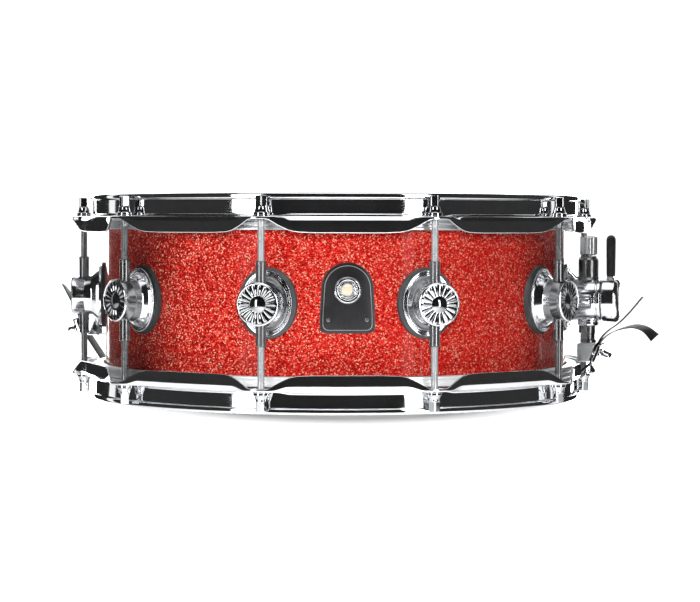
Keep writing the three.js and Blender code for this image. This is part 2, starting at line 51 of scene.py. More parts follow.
HEIGHT = 154  # lip to lip
LUGS = 10
LUG_STEP = 360 / LUGS
LUG_HEIGHT = 77
ROD_CIRCLE = 194.8
SEAT = 178.5  # back of what is bolted to the shell
WRAP_OUTER = 178.2
STRAINER_ANGLE = -18
BUTT_ANGLE = 162
BADGE_ANGLE = -90
PIVOT_HEIGHT = 75.5
COLUMN_RADIUS = 198
VENT_HEIGHT = 86.3
CLAMP_TILT = 21.5
STRAINER_CLAMP = (202.7, 36.3)  # radius and height of the clamping face
BUTT_CLAMP = (208, 50)
CLAMP = {"half_width": 13, "half_height": 7.5, "screw": 9.6, "hole": 2.2}
CARRIAGE_JAW_BACK = 191.5
BUTT_JAW_BACK = 192
BUTT_PLATE = (15, 38, 90, 6)  # half width, low and high edge, corner
BARREL_RADIUS = 16.1
GRIP_RADIUS = 214.9  # distance of the lever's grip from the drum's axis
KNOB = (6.55, 109.1, 123.7)  # radius, low and high end
WIRES = (20, 2.1)  # strands and the distance between them
WIRE_PLATES = (150, 166)  # each end plate's nearer and farther edge from the axis
SHELL_INNER = 170.2
VENT_RADIUS = 6.6
WRAP_EDGE = 12.15  # height of the wrap's lower edge
EAR_PLATE = 16.3  # depth of the ears' upper face below the lip
SHEET = 2.1  # thickness of the hoops' metal

# ---------------- camera

CAMERA_AZIMUTH = -92.69  # round the drum, in degrees
CAMERA_DISTANCE = 1650
CAMERA_HEIGHT = 133.4
CAMERA_YAW = -0.392
CAMERA_PITCH = -2.123
CAMERA_ROLL = 0.14
CAMERA_LENS = 108.95


def radial(angle):
    """The frame at an angle round the drum: X outwards, Y round it, Z up."""
    return Matrix.Rotation(math.radians(angle), 4, "Z")


def shifted(x=0, y=0, z=0):
    return Matrix.Translation((x, y, z))


def turned_about(axis, angle):
    return Matrix.Rotation(math.radians(angle), 4, axis)


def added(name, data):
    """A new object in the scene."""
    item = bpy.data.objects.new(name, data)
    bpy.context.scene.collection.objects.link(item)
    return item


def make_camera():
    camera = added("camera", bpy.data.cameras.new("camera"))
    camera.data.lens = CAMERA_LENS
    place = radial(CAMERA_AZIMUTH) @ shifted(CAMERA_DISTANCE * MM, 0, CAMERA_HEIGHT * MM)
    aim = turned_about("Z", 90 + CAMERA_YAW) @ turned_about("X", 90 + CAMERA_PITCH)
    camera.matrix_world = place @ aim @ turned_about("Z", CAMERA_ROLL)
    bpy.context.scene.camera = camera


make_camera()

# ---------------- materials


class Nodes:
    """A material's node tree, with short ways to add and join nodes."""

    def __init__(self, name, **sockets):
        self.material = bpy.data.materials.new(name)
        self.material.use_nodes = True
        self.tree = self.material.node_tree
        self.shader = self.tree.nodes["Principled BSDF"]
        for socket, value in sockets.items():
            self.shader.inputs[socket.replace("_", " ")].default_value = value

    def add(self, kind, **settings):
        node = self.tree.nodes.new("ShaderNode" + kind)
        for key, value in settings.items():
            if key in node.inputs:
                self.feed(value, node.inputs[key])
            else:
                setattr(node, key, value)
        return node

    def feed(self, value, socket):
        if isinstance(value, bpy.types.NodeSocket):
            self.tree.links.new(value, socket)
        else:
            socket.default_value = value

    def place(self, stretch=(1, 1, 1)):
        """Object coordinates, stretched along the axes."""
        here = self.add("TexCoord").outputs["Object"]
        return self.add("Mapping", Vector=here, Scale=stretch).outputs["Vector"]

    def noise(self, scale, detail=4, stretch=(1, 1, 1), roughness=0.5):
        node = self.add("TexNoise", Vector=self.place(stretch), Scale=scale, Detail=detail)
        node.inputs["Roughness"].default_value = roughness
        return node.outputs["Fac"]

    def ramp(self, value, *stops):
        node = self.add("ValToRGB")
        self.feed(value, node.inputs["Fac"])
        while len(node.color_ramp.elements) < len(stops):
            node.color_ramp.elements.new(0.5)
        for element, (position, colour) in zip(node.color_ramp.elements, stops):
            element.position = position
            grey = isinstance(colour, (int, float))
            element.color = (colour, colour, colour, 1) if grey else (*colour, 1)
        return node.outputs["Color"]

    def sum(self, operation, first, second):
        node = self.add("Math", operation=operation)
        self.feed(first, node.inputs[0])
        self.feed(second, node.inputs[1])
        return node.outputs["Value"]

    def vector(self, operation, first, second=None):
        """A vector sum; LENGTH gives a number."""
        node = self.add("VectorMath", operation=operation)
        self.feed(first, node.inputs[0])
        if second is not None:
            self.feed(second, node.inputs["Scale" if operation == "SCALE" else 1])
        return node.outputs["Value" if operation == "LENGTH" else 0]

    def mixed(self, factor, first, second, blend="MIX"):
        node = self.add("Mix", data_type="RGBA", blend_type=blend)
        self.feed(factor, node.inputs[0])
        self.feed(first, node.inputs[6])
        self.feed(second, node.inputs[7])
        return node.outputs[2]

    def bump(self, height, distance, strength):
        node = self.add("Bump", Height=height, Distance=distance, Strength=strength)
        return node.outputs["Normal"]

    def finish(self, **links):
        for socket, value in links.items():
            self.feed(value, self.shader.inputs[socket.replace("_", " ")])
        return self.material


WAVINESS = 0.0002  # depth of the plating's unevenness, in metres


def plated(name, colour, low, high, metal=1.0):
    """Plated or bare metal: faint smears in its gloss and a slight waviness of the surface."""
    nodes = Nodes(name, Metallic=metal)
    smears = nodes.noise(60, detail=5)
    fine = nodes.noise(900, detail=2)
    tint = nodes.ramp(smears, (0.35, [c * 0.93 for c in colour]), (0.65, colour))
    gloss = nodes.ramp(nodes.sum("ADD", smears, nodes.sum("MULTIPLY", fine, 0.2)),
                       (0.4, low), (0.8, high))
    return nodes.finish(Base_Color=tint, Roughness=gloss,
                        Normal=nodes.bump(nodes.noise(45, detail=2), WAVINESS, 0.35))


FLAKES = 1300.0  # large flakes in a metre
FINE_FLAKES = 2300.0
FLAKE_TILT = 0.75
PLY = 0.0012  # thickness of one ply of maple


def make_sparkle():
    """Glitter flakes under a clear lacquer, each flake with its own tint and tilt."""
    nodes = Nodes("sparkle_wrap", Metallic=0.7, Specular_IOR_Level=0.1, Coat_Weight=1.0,
                  Coat_Roughness=0.03, Coat_IOR=1.12)
    flakes = nodes.add("TexVoronoi", Vector=nodes.place(), Scale=FLAKES)
    fine = nodes.add("TexVoronoi", Vector=nodes.place(), Scale=FINE_FLAKES)
    large = nodes.add("SeparateColor", Color=flakes.outputs["Color"])
    small = nodes.add("SeparateColor", Color=fine.outputs["Color"])
    body = nodes.ramp(large.outputs["Red"], (0.0, (0.24, 0.003, 0.003)), (0.3, (0.48, 0.007, 0.006)),
                      (0.65, (0.76, 0.028, 0.02)), (0.86, (0.92, 0.12, 0.08)),
                      (0.97, (1.0, 0.52, 0.37)))
    grain = nodes.ramp(small.outputs["Green"], (0.0, 0.6), (0.5, 0.9), (1.0, 1.2))
    colour = nodes.mixed(1.0, body, grain, "MULTIPLY")
    around = nodes.vector("SUBTRACT", flakes.outputs["Color"], (0.5, 0.5, 0.5))
    lean = nodes.vector("SCALE", around, FLAKE_TILT)
    outwards = nodes.add("NewGeometry").outputs["Normal"]
    facing = nodes.vector("NORMALIZE", nodes.vector("ADD", outwards, lean))
    gloss = nodes.ramp(small.outputs["Blue"], (0.0, 0.45), (1.0, 0.75))
    return nodes.finish(Base_Color=colour, Roughness=gloss, Normal=facing)


def make_maple():
    """Pale maple with fine grain running round the shell and its glued plies on the edges."""
    nodes = Nodes("maple_shell", Coat_Weight=0.25, Coat_Roughness=0.3)
    grain = nodes.noise(14, detail=8, stretch=(1, 1, 22), roughness=0.65)
    pores = nodes.noise(160, detail=3, stretch=(1, 1, 14))
    wood = nodes.ramp(grain, (0.3, (0.52, 0.37, 0.22)), (0.5, (0.74, 0.60, 0.44)),
                      (0.7, (0.84, 0.73, 0.58)))
    wood = nodes.mixed(nodes.ramp(pores, (0.58, 0.0), (0.7, 0.35)), wood, (0.3, 0.16, 0.07, 1))
    across = nodes.vector("LENGTH", nodes.vector("MULTIPLY", nodes.place(), (1, 1, 0)))
    plies = nodes.sum("FRACT", nodes.sum("MULTIPLY", across, 1 / PLY), 0)
    glue = nodes.ramp(plies, (0.0, 0.55), (0.08, 1.0), (0.92, 1.0), (1.0, 0.55))
    wood = nodes.mixed(0.5, wood, glue, "MULTIPLY")
    return nodes.finish(Base_Color=wood, Roughness=nodes.ramp(grain, (0.3, 0.5), (0.7, 0.36)),
                        Normal=nodes.bump(pores, 0.00006, 0.5))


def make_coated():
    """White coated film: a fine dry spray over faint cloudiness."""
    nodes = Nodes("coated_film", IOR=1.5)
    spray = nodes.noise(1700, detail=6, roughness=0.7)
    cloud = nodes.noise(9, detail=3)
    colour = nodes.ramp(cloud, (0.3, (0.86, 0.86, 0.83)), (0.7, (0.92, 0.92, 0.9)))
    colour = nodes.mixed(nodes.ramp(spray, (0.4, 0.0), (0.7, 0.25)), colour, (0.76, 0.76, 0.74, 1))
    return nodes.finish(Base_Color=colour, Roughness=nodes.ramp(spray, (0.3, 0.62), (0.7, 0.85)),
                        Normal=nodes.bump(spray, 0.00008, 0.7))


def make_clear():
    """Thin hazy film that lets the shell's inside show."""
    nodes = Nodes("clear_film", IOR=1.3, Transmission_Weight=0.92)
    haze = nodes.noise(30, detail=6)
    colour = nodes.ramp(haze, (0.3, (0.86, 0.88, 0.88)), (0.7, (0.95, 0.96, 0.96)))
    return nodes.finish(Base_Color=colour, Roughness=nodes.ramp(haze, (0.35, 0.16), (0.7, 0.3)))


def make_brushed(name, colour, low, high, stretch):
    """Metal with fine lines across the stretched axes."""
    nodes = Nodes(name, Metallic=0.9)
    lines = nodes.noise(220, detail=6, stretch=stretch, roughness=0.7)
    wear = nodes.noise(35, detail=4)
    tint = nodes.ramp(lines, (0.3, [c * 0.75 for c in colour]), (0.7, [c * 1.2 for c in colour]))
    return nodes.finish(Base_Color=tint, Roughness=nodes.ramp(wear, (0.35, low), (0.7, high)),
                        Normal=nodes.bump(lines, 0.00003, 0.5))


def make_rubber():
    """Dark moulded rubber with a fine matt grain and paler dust on it."""
    nodes = Nodes("rubber", IOR=1.5)
    grain = nodes.noise(1100, detail=4)
    dust = nodes.noise(70, detail=5)
    colour = nodes.ramp(dust, (0.35, (0.022, 0.023, 0.024)), (0.7, (0.05, 0.052, 0.054)))
    return nodes.finish(Base_Color=colour, Roughness=nodes.ramp(dust, (0.3, 0.45), (0.7, 0.7)),
                        Normal=nodes.bump(grain, 0.00005, 0.4))


def make_tape():
    """Black woven plastic strap: fine lengthwise threads crossed by faint ribs, with the weave's
    crests painted lighter as a painted sheen.
    """
    nodes = Nodes("strap_tape", IOR=1.5, Specular_IOR_Level=0.25)
    here = nodes.add("Attribute", attribute_name="strap").outputs["Vector"]
    parts = nodes.add("SeparateXYZ", Vector=here)
    threads = nodes.sum("SINE", nodes.sum("MULTIPLY", parts.outputs["Y"], TURN / 0.8), 0)
    ribs = nodes.sum("SINE", nodes.sum("MULTIPLY", parts.outputs["X"], TURN / 2.4), 0)
    weave = nodes.sum("MULTIPLY", threads, ribs)
    # The weave's own pattern, with its crests painted lighter: a painted sheen.
    painted_sheen = nodes.ramp(nodes.sum("ADD", nodes.sum("MULTIPLY", weave, 0.35), 0.5),
                       (0.15, (0.006, 0.006, 0.007)), (0.85, (0.03, 0.03, 0.032)))
    return nodes.finish(Base_Color=painted_sheen, Roughness=nodes.ramp(weave, (0.2, 0.5), (0.8, 0.65)),
                        Normal=nodes.bump(weave, 0.00008, 0.6))


CHROME = plated("chrome", (0.80, 0.81, 0.83), 0.035, 0.075)
# A darker copy of the chrome for the lug faces: painted shade, so they read mid-grey.
SHADED_FACE_CHROME = plated("face_chrome_painted_shade", (0.36, 0.37, 0.38), 0.1, 0.18)
CAST = plated("cast_chrome", (0.72, 0.73, 0.75), 0.09, 0.18)
STUD = plated("plated_thread", (0.44, 0.45, 0.46), 0.2, 0.34, metal=0.6)
# A darker copy of the chrome for the rod heads: painted shade.
SHADED_HEAD_CHROME = plated("head_chrome_painted_shade", (0.52, 0.53, 0.54), 0.05, 0.1)
SLEEVE = make_brushed("dull_plating", (0.24, 0.24, 0.245), 0.22, 0.36, (12, 12, 1))
# A darker copy of the pale aluminium for the batter side's flesh hoop: painted shade for where it sits
# under the hoop.
SHADED_ALUMINIUM = plated("aluminium_rings", (0.5, 0.51, 0.52), 0.24, 0.4, metal=0.9)
ALUMINIUM_PALE = plated("aluminium_rings_pale", (0.82, 0.83, 0.84), 0.3, 0.45, metal=0.7)
SATIN = make_brushed("satin_steel", (0.68, 0.69, 0.7), 0.28, 0.42, (1, 1, 14))
WIRE = plated("wire_steel", (0.62, 0.63, 0.65), 0.2, 0.34)
GUNMETAL = make_brushed("gunmetal", (0.065, 0.065, 0.068), 0.34, 0.5, (12, 12, 1))
SPARKLE = make_sparkle()
MAPLE = make_maple()
COATED = make_coated()
CLEAR = make_clear()
RUBBER = make_rubber()
TAPE = make_tape()

# ---------------- solids


class Solid:
    """Points in millimetres and faces by index."""

    def __init__(self, points, faces):
        self.points = points
        self.faces = faces

    def moved(self, matrix):
        return Solid([matrix @ point for point in self.points], self.faces)


def joined(solids):
    whole = Solid([], [])
    for solid in solids:
        start = len(whole.points)
        whole.points += solid.points
        whole.faces += [tuple(start + i for i in face) for face in solid.faces]
    return whole


def rounded(outline, closed=True, steps=4):
    """Rounds an outline's corners, each given as (a, b) or (a, b, radius)."""
    points = []
    for i, (a, b, *rest) in enumerate(outline):
        corner = Vector((a, b))
        ends = not closed and i in (0, len(outline) - 1)
        if ends or not rest:
            points.append(corner)
            continue
        before = Vector(outline[i - 1][:2]) - corner
        after = Vector(outline[(i + 1) % len(outline)][:2]) - corner
        reach = rest[0] / max(math.tan(before.angle(after) / 2), 0.05)
        start = corner + before.normalized() * min(reach, 0.48 * before.length)
        end = corner + after.normalized() * min(reach, 0.48 * after.length)
        for step in range(steps + 1):
            t = step / steps
            points.append(start.lerp(corner, t).lerp(corner.lerp(end, t), t))
    return points


def lofted(rings, closed=False):
    """Joins a row of rings, each a list of points, with flat ends or round to the first ring."""
    sides = len(rings[0])
    faces = []
    for band in range(len(rings) if closed else len(rings) - 1):
        low = band * sides
        high = (band + 1) % len(rings) * sides
        for side in range(sides):
            after = (side + 1) % sides
            faces.append((low + side, low + after, high + after, high + side))
    if not closed:
        last = (len(rings) - 1) * sides
        faces.append(tuple(range(sides)))
        faces.append(tuple(range(last, last + sides)))
    return Solid([point for ring in rings for point in ring], faces)


SHARP = 38  # edges bent by more than this many degrees are drawn sharp
POLE = 0.02  # smallest radius of a turned body


def circle(radius, height, sides=48):
    angles = [TURN * i / sides for i in range(sides)]
    return [Vector((radius * math.cos(a), radius * math.sin(a), height)) for a in angles]


def turned(outline, sides):
    """A body turned about Z: its outline ends on the axis at both ends, or closes on itself."""
    hollow = outline[0][0] > 0
    return lofted([circle(max(r, POLE), z, sides) for r, z in outline], closed=hollow)


def post(radius, low, high, sides=48):
    """A plain cylinder standing on Z between two heights."""
    return turned([(0, low), (radius, low), (radius, high), (0, high)], sides)


def revolved(corners, sides):
    """Rounds an outline's corners and turns it about Z."""
    return turned(rounded(corners, closed=corners[0][0] > 0), sides)


def lying(solid, height=0):
    """Lays a body turned about Z along X, at a height."""
    return solid.moved(shifted(z=height) @ turned_about("Y", 90))


def rounded_rectangle(half_width, low, high, corner):
    """The outline of an upright plate, as (across, height) points."""
    corners = [(half_width, high), (-half_width, high), (-half_width, low), (half_width, low)]
    return rounded([(a, b, corner) for a, b in corners], steps=6)


def standing(outline, x):
    """A ring at an x from (across, height) points."""
    return [Vector((x, point.x, point.y)) for point in outline]


def slab(outline, edges):
    """Extrudes an upright outline along X through (x, inset) edge points."""
    centre = sum(outline, Vector((0, 0))) / len(outline)
    reach = max(abs(point.x - centre.x) for point in outline)
    tall = max(abs(point.y - centre.y) for point in outline)
    rings = []
    for x, inset in edges:
        across = 1 - inset / reach
        up = 1 - inset / tall
        rings.append([Vector((x, centre.x + (p.x - centre.x) * across,
                              centre.y + (p.y - centre.y) * up)) for p in outline])
    return lofted(rings)


def plate_edges(x0, x1, bevel):
    """Edge points for slab: a square back and a rounded front edge."""
    front = rounded([(x0, 0), (x1, 0, bevel), (x1, bevel * 1.6)], closed=False)
    return [(point.x, point.y) for point in front]


def block(x0, x1, half_width, z0, z1, bevel):
    """A box with softened edges all round."""
    outline = rounded([(half_width, z1, bevel), (-half_width, z1, bevel), (-half_width, z0, bevel),
                       (half_width, z0, bevel)], steps=3)
    ends = rounded([(x0, bevel), (x0, 0, bevel), (x1, 0, bevel), (x1, bevel)], closed=False, steps=3)
    return slab(outline, [(point.x, point.y) for point in ends])


def wrapped(solid, depth=math.inf):
    """Bends what is drawn flat on the plane x = SEAT round the shell, as far out as a depth."""
    radius = WRAP_OUTER + 0.05
    points = []
    for point in solid.points:
        drop = radius - math.sqrt(radius ** 2 - point.y ** 2)
        bent = point.x <= SEAT + depth
        points.append(Vector((point.x - drop if bent else point.x, point.y, point.z)))
    return Solid(points, solid.faces)


def conforming(solid):
    """Only the back face follows the shell; the front stays flat."""
    return wrapped(solid, depth=0.01)


def mesh_of(solid, sharp=SHARP):
    mesh = bpy.data.meshes.new("shape")
    mesh.from_pydata([point * MM for point in solid.points], [], solid.faces)
    build = bmesh.new()
    build.from_mesh(mesh)
    bmesh.ops.remove_doubles(build, verts=build.verts, dist=1e-7)
    bmesh.ops.recalc_face_normals(build, faces=build.faces)
    build.to_mesh(mesh)
    build.free()
    mesh.shade_smooth()
    mesh.set_sharp_from_angle(angle=math.radians(sharp))
    return mesh


def carved(solid, cutters):
    """The mesh of a solid with others cut out of it."""
    target = added("carved", mesh_of(solid))
    helpers = []
    for cutter in cutters:
        helper = added("cutter", mesh_of(cutter))
        change = target.modifiers.new("cut", "BOOLEAN")
        change.operation = "DIFFERENCE"
        change.solver = "EXACT"
        change.object = helper
        helpers.append(helper)
    graph = bpy.context.evaluated_depsgraph_get()
    result = bpy.data.meshes.new_from_object(target.evaluated_get(graph))
    for item in [target, *helpers]:
        bpy.data.objects.remove(item)
    result.shade_smooth()
    result.set_sharp_from_angle(angle=math.radians(SHARP))
    return result


def piece(name, shape, material, body="root", place=None, replaces=()):
    """A piece of the drum, in its material, riding on its body."""
    mesh = mesh_of(shape) if isinstance(shape, Solid) else shape.copy()
    mesh.name = name
    mesh.materials.append(material)
    if place is not None:
        metres = place.copy()
        metres.translation = metres.translation * MM
        mesh.transform(metres)
    item = added(name, mesh)
    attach(item, body)
    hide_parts(*replaces)
    return item


# ---------------- straps

STRAP_WIDTH = 0.013
STRAP_CORNER = 0.0002

# (radius, height) in metres: from the wires' end plate, through the hoop's gate, to the clamp.
INNER_LAYER = [
    (0.1665, 0.0053), (0.172, 0.0053), (0.176, 0.0055), (0.18, 0.0078), (0.184, 0.012),
    (0.1884, 0.0172), (0.1938, 0.0226),
]
OUTER_LAYER = [
    (0.1665, 0.0042), (0.172, 0.0042), (0.1766, 0.0045), (0.1808, 0.007), (0.1849, 0.0113),
    (0.1893, 0.0165), (0.1947, 0.0219),
]
BUTT_LAYER = [
    (0.1665, 0.0049), (0.172, 0.0049), (0.1763, 0.0051), (0.1804, 0.0074), (0.1844, 0.0117),
    (0.1886, 0.0174), (0.194, 0.0254), (0.2004, 0.0346),
]
UPPER_TAIL = [
    (0.2094, 0.0486), (0.214, 0.053), (0.2194, 0.0568), (0.225, 0.0618), (0.232, 0.0696),
    (0.239, 0.0782),
]
LOWER_TAIL = [
    (0.2108, 0.0474), (0.2166, 0.0514), (0.2244, 0.0544), (0.2334, 0.056), (0.2412, 0.0538),
    (0.2484, 0.0476),
]
BUTT_TAIL = [(0.2144, 0.0632), (0.2184, 0.0694), (0.2226, 0.0758), (0.2274, 0.0826)]
CLAMP_HALF_HEIGHT = 0.0075


def along_clamp(clamp, offset):
    """Points along a clamp's face at an offset from it, bottom to top."""
    tilt = math.radians(CLAMP_TILT)
    radius, height = (value * MM for value in clamp)
    return [(radius + offset * math.cos(tilt) + end * CLAMP_HALF_HEIGHT * math.sin(tilt),
             height - offset * math.sin(tilt) + end * CLAMP_HALF_HEIGHT * math.cos(tilt))
            for end in (-1, 0, 1)]


def smooth_route(route):
    """A centripetal Catmull-Rom curve through the route's points."""
    steps = 6
    points = [Vector(point) for point in route]
    points = [2 * points[0] - points[1], *points, 2 * points[-1] - points[-2]]
    path = []
    for a, b, c, d in zip(points, points[1:], points[2:], points[3:]):
        times = [0]
        for start, end in ((a, b), (b, c), (c, d)):
            times.append(times[-1] + math.sqrt((end - start).length))
        t0, t1, t2, t3 = times
        for step in range(steps):
            t = t1 + (t2 - t1) * step / steps
            first = a.lerp(b, (t - t0) / (t1 - t0))
            second = b.lerp(c, (t - t1) / (t2 - t1))
            third = c.lerp(d, (t - t2) / (t3 - t2))
            early = first.lerp(second, (t - t0) / (t2 - t0))
            late = second.lerp(third, (t - t1) / (t3 - t1))
            path.append(early.lerp(late, (t - t1) / (t2 - t1)))
    return [*path, points[-2]]


def make_strap(name, route, thickness, angle, body, twist=0.0, twist_from=1.0):
    """A flat strap through (radius, height) points; its free end may twist to show its face."""
    line = smooth_route(route)
    around = radial(angle)
    path = [around @ Vector((r, 0, z)) for r, z in line]
    lengths = [0.0]
    for start, end in zip(path, path[1:]):
        lengths.append(lengths[-1] + (end - start).length)
    total = lengths[-1]
    half = STRAP_WIDTH / 2
    section = rounded([(half, thickness / 2, STRAP_CORNER), (-half, thickness / 2, STRAP_CORNER),
                       (-half, -thickness / 2, STRAP_CORNER), (half, -thickness / 2, STRAP_CORNER)],
                      steps=2)
    sideways = around @ Vector((0, 1, 0))
    rings, tags = [], []
    for i, point in enumerate(path):
        along = (path[min(i + 1, len(path) - 1)] - path[max(i - 1, 0)]).normalized()
        share = max(0.0, (lengths[i] / total - twist_from) / max(1 - twist_from, 1e-6))
        lean = Matrix.Rotation(math.radians(twist) * share ** 2, 3, along)
        across = lean @ sideways
        up = across.cross(along)
        rings.append([(point + across * a + up * b) / MM for a, b in section])
        tags += [(lengths[i] / MM, a / MM, 0.0) for a, b in section]
    mesh = mesh_of(lofted(rings), sharp=50)
    attribute = mesh.attributes.new("strap", "FLOAT_VECTOR", "POINT")
    for i, tag in enumerate(tags):
        attribute.data[i].vector = tag
    strap = piece(name + "_tape", mesh, TAPE, body, replaces=[name])


make_strap("strainer_strap_inner",
           INNER_LAYER + along_clamp(STRAINER_CLAMP, 0.0006) + UPPER_TAIL,
           0.0006, STRAINER_ANGLE, "carriage")
make_strap("strainer_strap_outer",
           OUTER_LAYER + along_clamp(STRAINER_CLAMP, 0.0015) + LOWER_TAIL,
           0.0006, STRAINER_ANGLE, "carriage", twist=30, twist_from=0.62)
make_strap("butt_strap",
           BUTT_LAYER + along_clamp(BUTT_CLAMP, 0.00075) + BUTT_TAIL,
           0.0009, BUTT_ANGLE, "root", twist=15, twist_from=0.74)

# ---------------- shell, wrap and badge


def at_top(outline):
    """Mirrors an outline measured from the lower lip to the upper one."""
    return [(r, HEIGHT - z, *rest) for r, z, *rest in outline]


def make_shell():
    edge = 7.15
    half = [(177.4, edge + 3.4, 1.2), (175.6, edge, 0.5), (SHELL_INNER + 0.3, edge + 5, 0.8),
            (SHELL_INNER, edge + 6)]
    outline = rounded(at_top(half) + half[::-1])
    vent = lying(post(VENT_RADIUS, 160, 185), VENT_HEIGHT)
    drill = vent.moved(radial(BADGE_ANGLE))
    shell = carved(turned(outline, 180), [drill])
    wood = piece("maple_shell", shell, MAPLE, replaces=["shell"])
    low, high = WRAP_EDGE, HEIGHT - WRAP_EDGE
    inner = 177.55
    wrap = revolved(
        [(inner, low), (WRAP_OUTER, low, 0.2), (WRAP_OUTER, high, 0.2), (inner, high)], 240)
    skin = piece("sparkle_wrap", carved(wrap, [drill]), SPARKLE, replaces=["shell_wrap"])
    for item in (wood, skin):
        item.visible_glossy = False  # the plating reflects the studio and not the drum's own colour
    seam = slab(rounded_rectangle(7, low, high, 0.2),
                [(WRAP_OUTER - 0.1, 0), (WRAP_OUTER + 0.12, 0), (WRAP_OUTER + 0.2, 0.15)])
    bent = []
    for point in seam.points:
        angle = point.y / WRAP_OUTER
        bent.append(Vector((point.x * math.cos(angle), point.x * math.sin(angle), point.z)))
    piece("wrap_overlap", Solid(bent, seam.faces), SPARKLE, place=radial(90))


def badge_outline(inset):
    """An arched plate: round top, straight sides and rounded lower corners."""
    steps = 28
    half, low, top, corner = 19.4 - inset, 56.2 + inset, 105.6 - inset, 7 - inset
    shoulder = half - 1.2
    centre = top - shoulder
    arch = [Vector((shoulder * math.cos(math.pi * i / steps),
                    centre + shoulder * math.sin(math.pi * i / steps))) for i in range(steps + 1)]
    foot = rounded([(-half, low + 9), (-half, low, corner), (half, low, corner), (half, low + 9)],
                   closed=False, steps=8)
    return arch + foot


def arched_band(outer, inner, x0, x1):
    """A raised line between two badge outlines."""
    corners = [(outer, x0), (outer, x1), (inner, x1), (inner, x0)]
    return lofted([standing(outline, x) for outline, x in corners], closed=True)


def make_badge():
    face = SEAT + 1.15
    edges = [(SEAT, 0), (face - 0.35, 0), (face - 0.1, 0.12), (face, 0.4)]
    plate = wrapped(lofted([standing(badge_outline(inset), x) for x, inset in edges]))
    drill = lying(post(6.5, 170, 190), VENT_HEIGHT)
    turn = radial(BADGE_ANGLE)
    piece("badge_plate", carved(plate, [drill]), GUNMETAL, place=turn, replaces=["badge"])
    rim = wrapped(arched_band(badge_outline(2.0), badge_outline(2.5), face - 0.2, face + 0.14))
    piece("badge_border", rim, SATIN, place=turn)
    pin = lying(revolved([
        (0, face - 1), (1.45, face - 1), (1.45, face + 0.1, 0.3), (0.9, face + 0.42, 0.4),
        (0, face + 0.45),
    ], 24))
    for name, across in (("badge_pin_left", -13.5), ("badge_pin_right", 13.5)):
        piece(name, pin.moved(shifted(-0.5, across, 65.7)), SLEEVE, place=turn)


def make_grommet():
    """Riveted vent: a rolled flange, a groove, an inner lip and the tube through the shell."""
    front = SEAT + 1.5
    outline = rounded([
        (4.1, 168.6, 0.3), (7.4, 168.6, 0.5), (7.4, 169.4, 0.4), (6, 169.7, 0.3), (6, front - 0.2),
        (9.7, front - 0.2, 0.25), (9.6, front + 1.1, 0.8), (8.4, front + 2.3, 0.8),
        (7.0, front + 2.1, 0.5), (6.3, front + 0.9, 0.4), (5.6, front + 0.9, 0.4),
        (5.2, front + 1.9, 0.4), (4.4, front + 1.9, 0.4), (4.1, front + 1.0, 0.3),
    ])
    grommet = lying(turned(outline, 56), VENT_HEIGHT)
    piece("grommet", grommet, CHROME, place=radial(BADGE_ANGLE), replaces=["vent_grommet"])


# ---------------- heads and hoops


def make_heads():
    edge, face = 6.85, 6.35
    film = [
        (0, face), (176.2, face, 2.2), (179.0, face + 2.8, 2.0), (179.2, 12), (179.2, 23),
        (178.7, 23), (178.7, 12), (178.5, edge + 2.9, 2.0), (176.0, edge, 2.0), (0, edge),
    ]
    upper = piece("batter_film", revolved(at_top(film), 180), COATED,
                  replaces=["batter_head_film"])
    upper.visible_shadow = False  # a thin head lets daylight into the shell
    piece("snare_film", revolved(film, 180), CLEAR, replaces=["snare_head_film"])
    channel = [
        (179.7, 18.8, 0.4), (183.4, 18.8, 0.6), (187, 18.8, 0.8), (187, 21.4, 0.6),
        (185.9, 22.0, 0.5), (185.9, 23.6, 0.5), (186.8, 24.2, 0.5), (186.8, 25.9, 0.6),
        (179.7, 25.9, 0.4),
    ]
    # The batter side's flesh hoop takes the darker aluminium, which is painted shade; the snare side's
    # takes the pale one.
    for name, end, material in (("batter_flesh_hoop", at_top, SHADED_ALUMINIUM),
                                ("snare_flesh_hoop", list, ALUMINIUM_PALE)):
        piece(name + "_channel", revolved(end(channel), 180), material, replaces=[name])


# Angle from a lug in degrees, outer radius, skirt depth.
HOOP_STATIONS = [
    (0, 204, 18.4), (1.5, 203.9, 18.4), (2.1, 203.1, 18.9), (4, 200.2, 23.0), (6, 198, 26.4),
    (7.5, 196.9, 27.5), (11, 195.6, 28), (18, 195, 28),
]
HOOP_ANGLES = [0, 0.7, 1.3, 1.8, 2.2, 2.8, 3.5, 4.3, 5.1, 5.9, 6.7, 7.7, 9, 10.6, 12.4, 14.4, 16.2]


def hoop_at(angle):
    """Outer radius and skirt depth at an angle from the nearest lug."""
    for (a0, r0, d0), (a1, r1, d1) in zip(HOOP_STATIONS, HOOP_STATIONS[1:]):
        if angle <= a1:
            t = (angle - a0) / (a1 - a0)
            return r0 + (r1 - r0) * t, d0 + (d1 - d0) * t
    return HOOP_STATIONS[-1][1:]


def hoop_corners(angle):
    """The hoop's section at an angle from the nearest lug, with depths below its lip."""
    radius, depth = hoop_at(abs(angle))
    swell = min(1, max(0.25, (abs(angle) - 2.5) / 3))  # the flange lifts between the ears
    rise = 1.4 * (swell - 0.25) / 0.75
    under = EAR_PLATE + SHEET
    return [
        (185.6, 0, 0.9), (189.8, 0, 1.7), (189.8, 4.0, 1.6), (188, 4.3, 0.5),
        (188, EAR_PLATE - 1.1 * rise, 1.2), (190.2, EAR_PLATE - 0.6 * rise, 0.8),
        (radius - 2.2 * swell, EAR_PLATE, 1.8), (radius, EAR_PLATE + 3.4 * swell, 2.4),
        (radius, depth, 0.6), (radius - SHEET, depth, 0.9),
        (radius - SHEET - 0.1, under, 1.0), (185.6, under, 0.4),
    ]


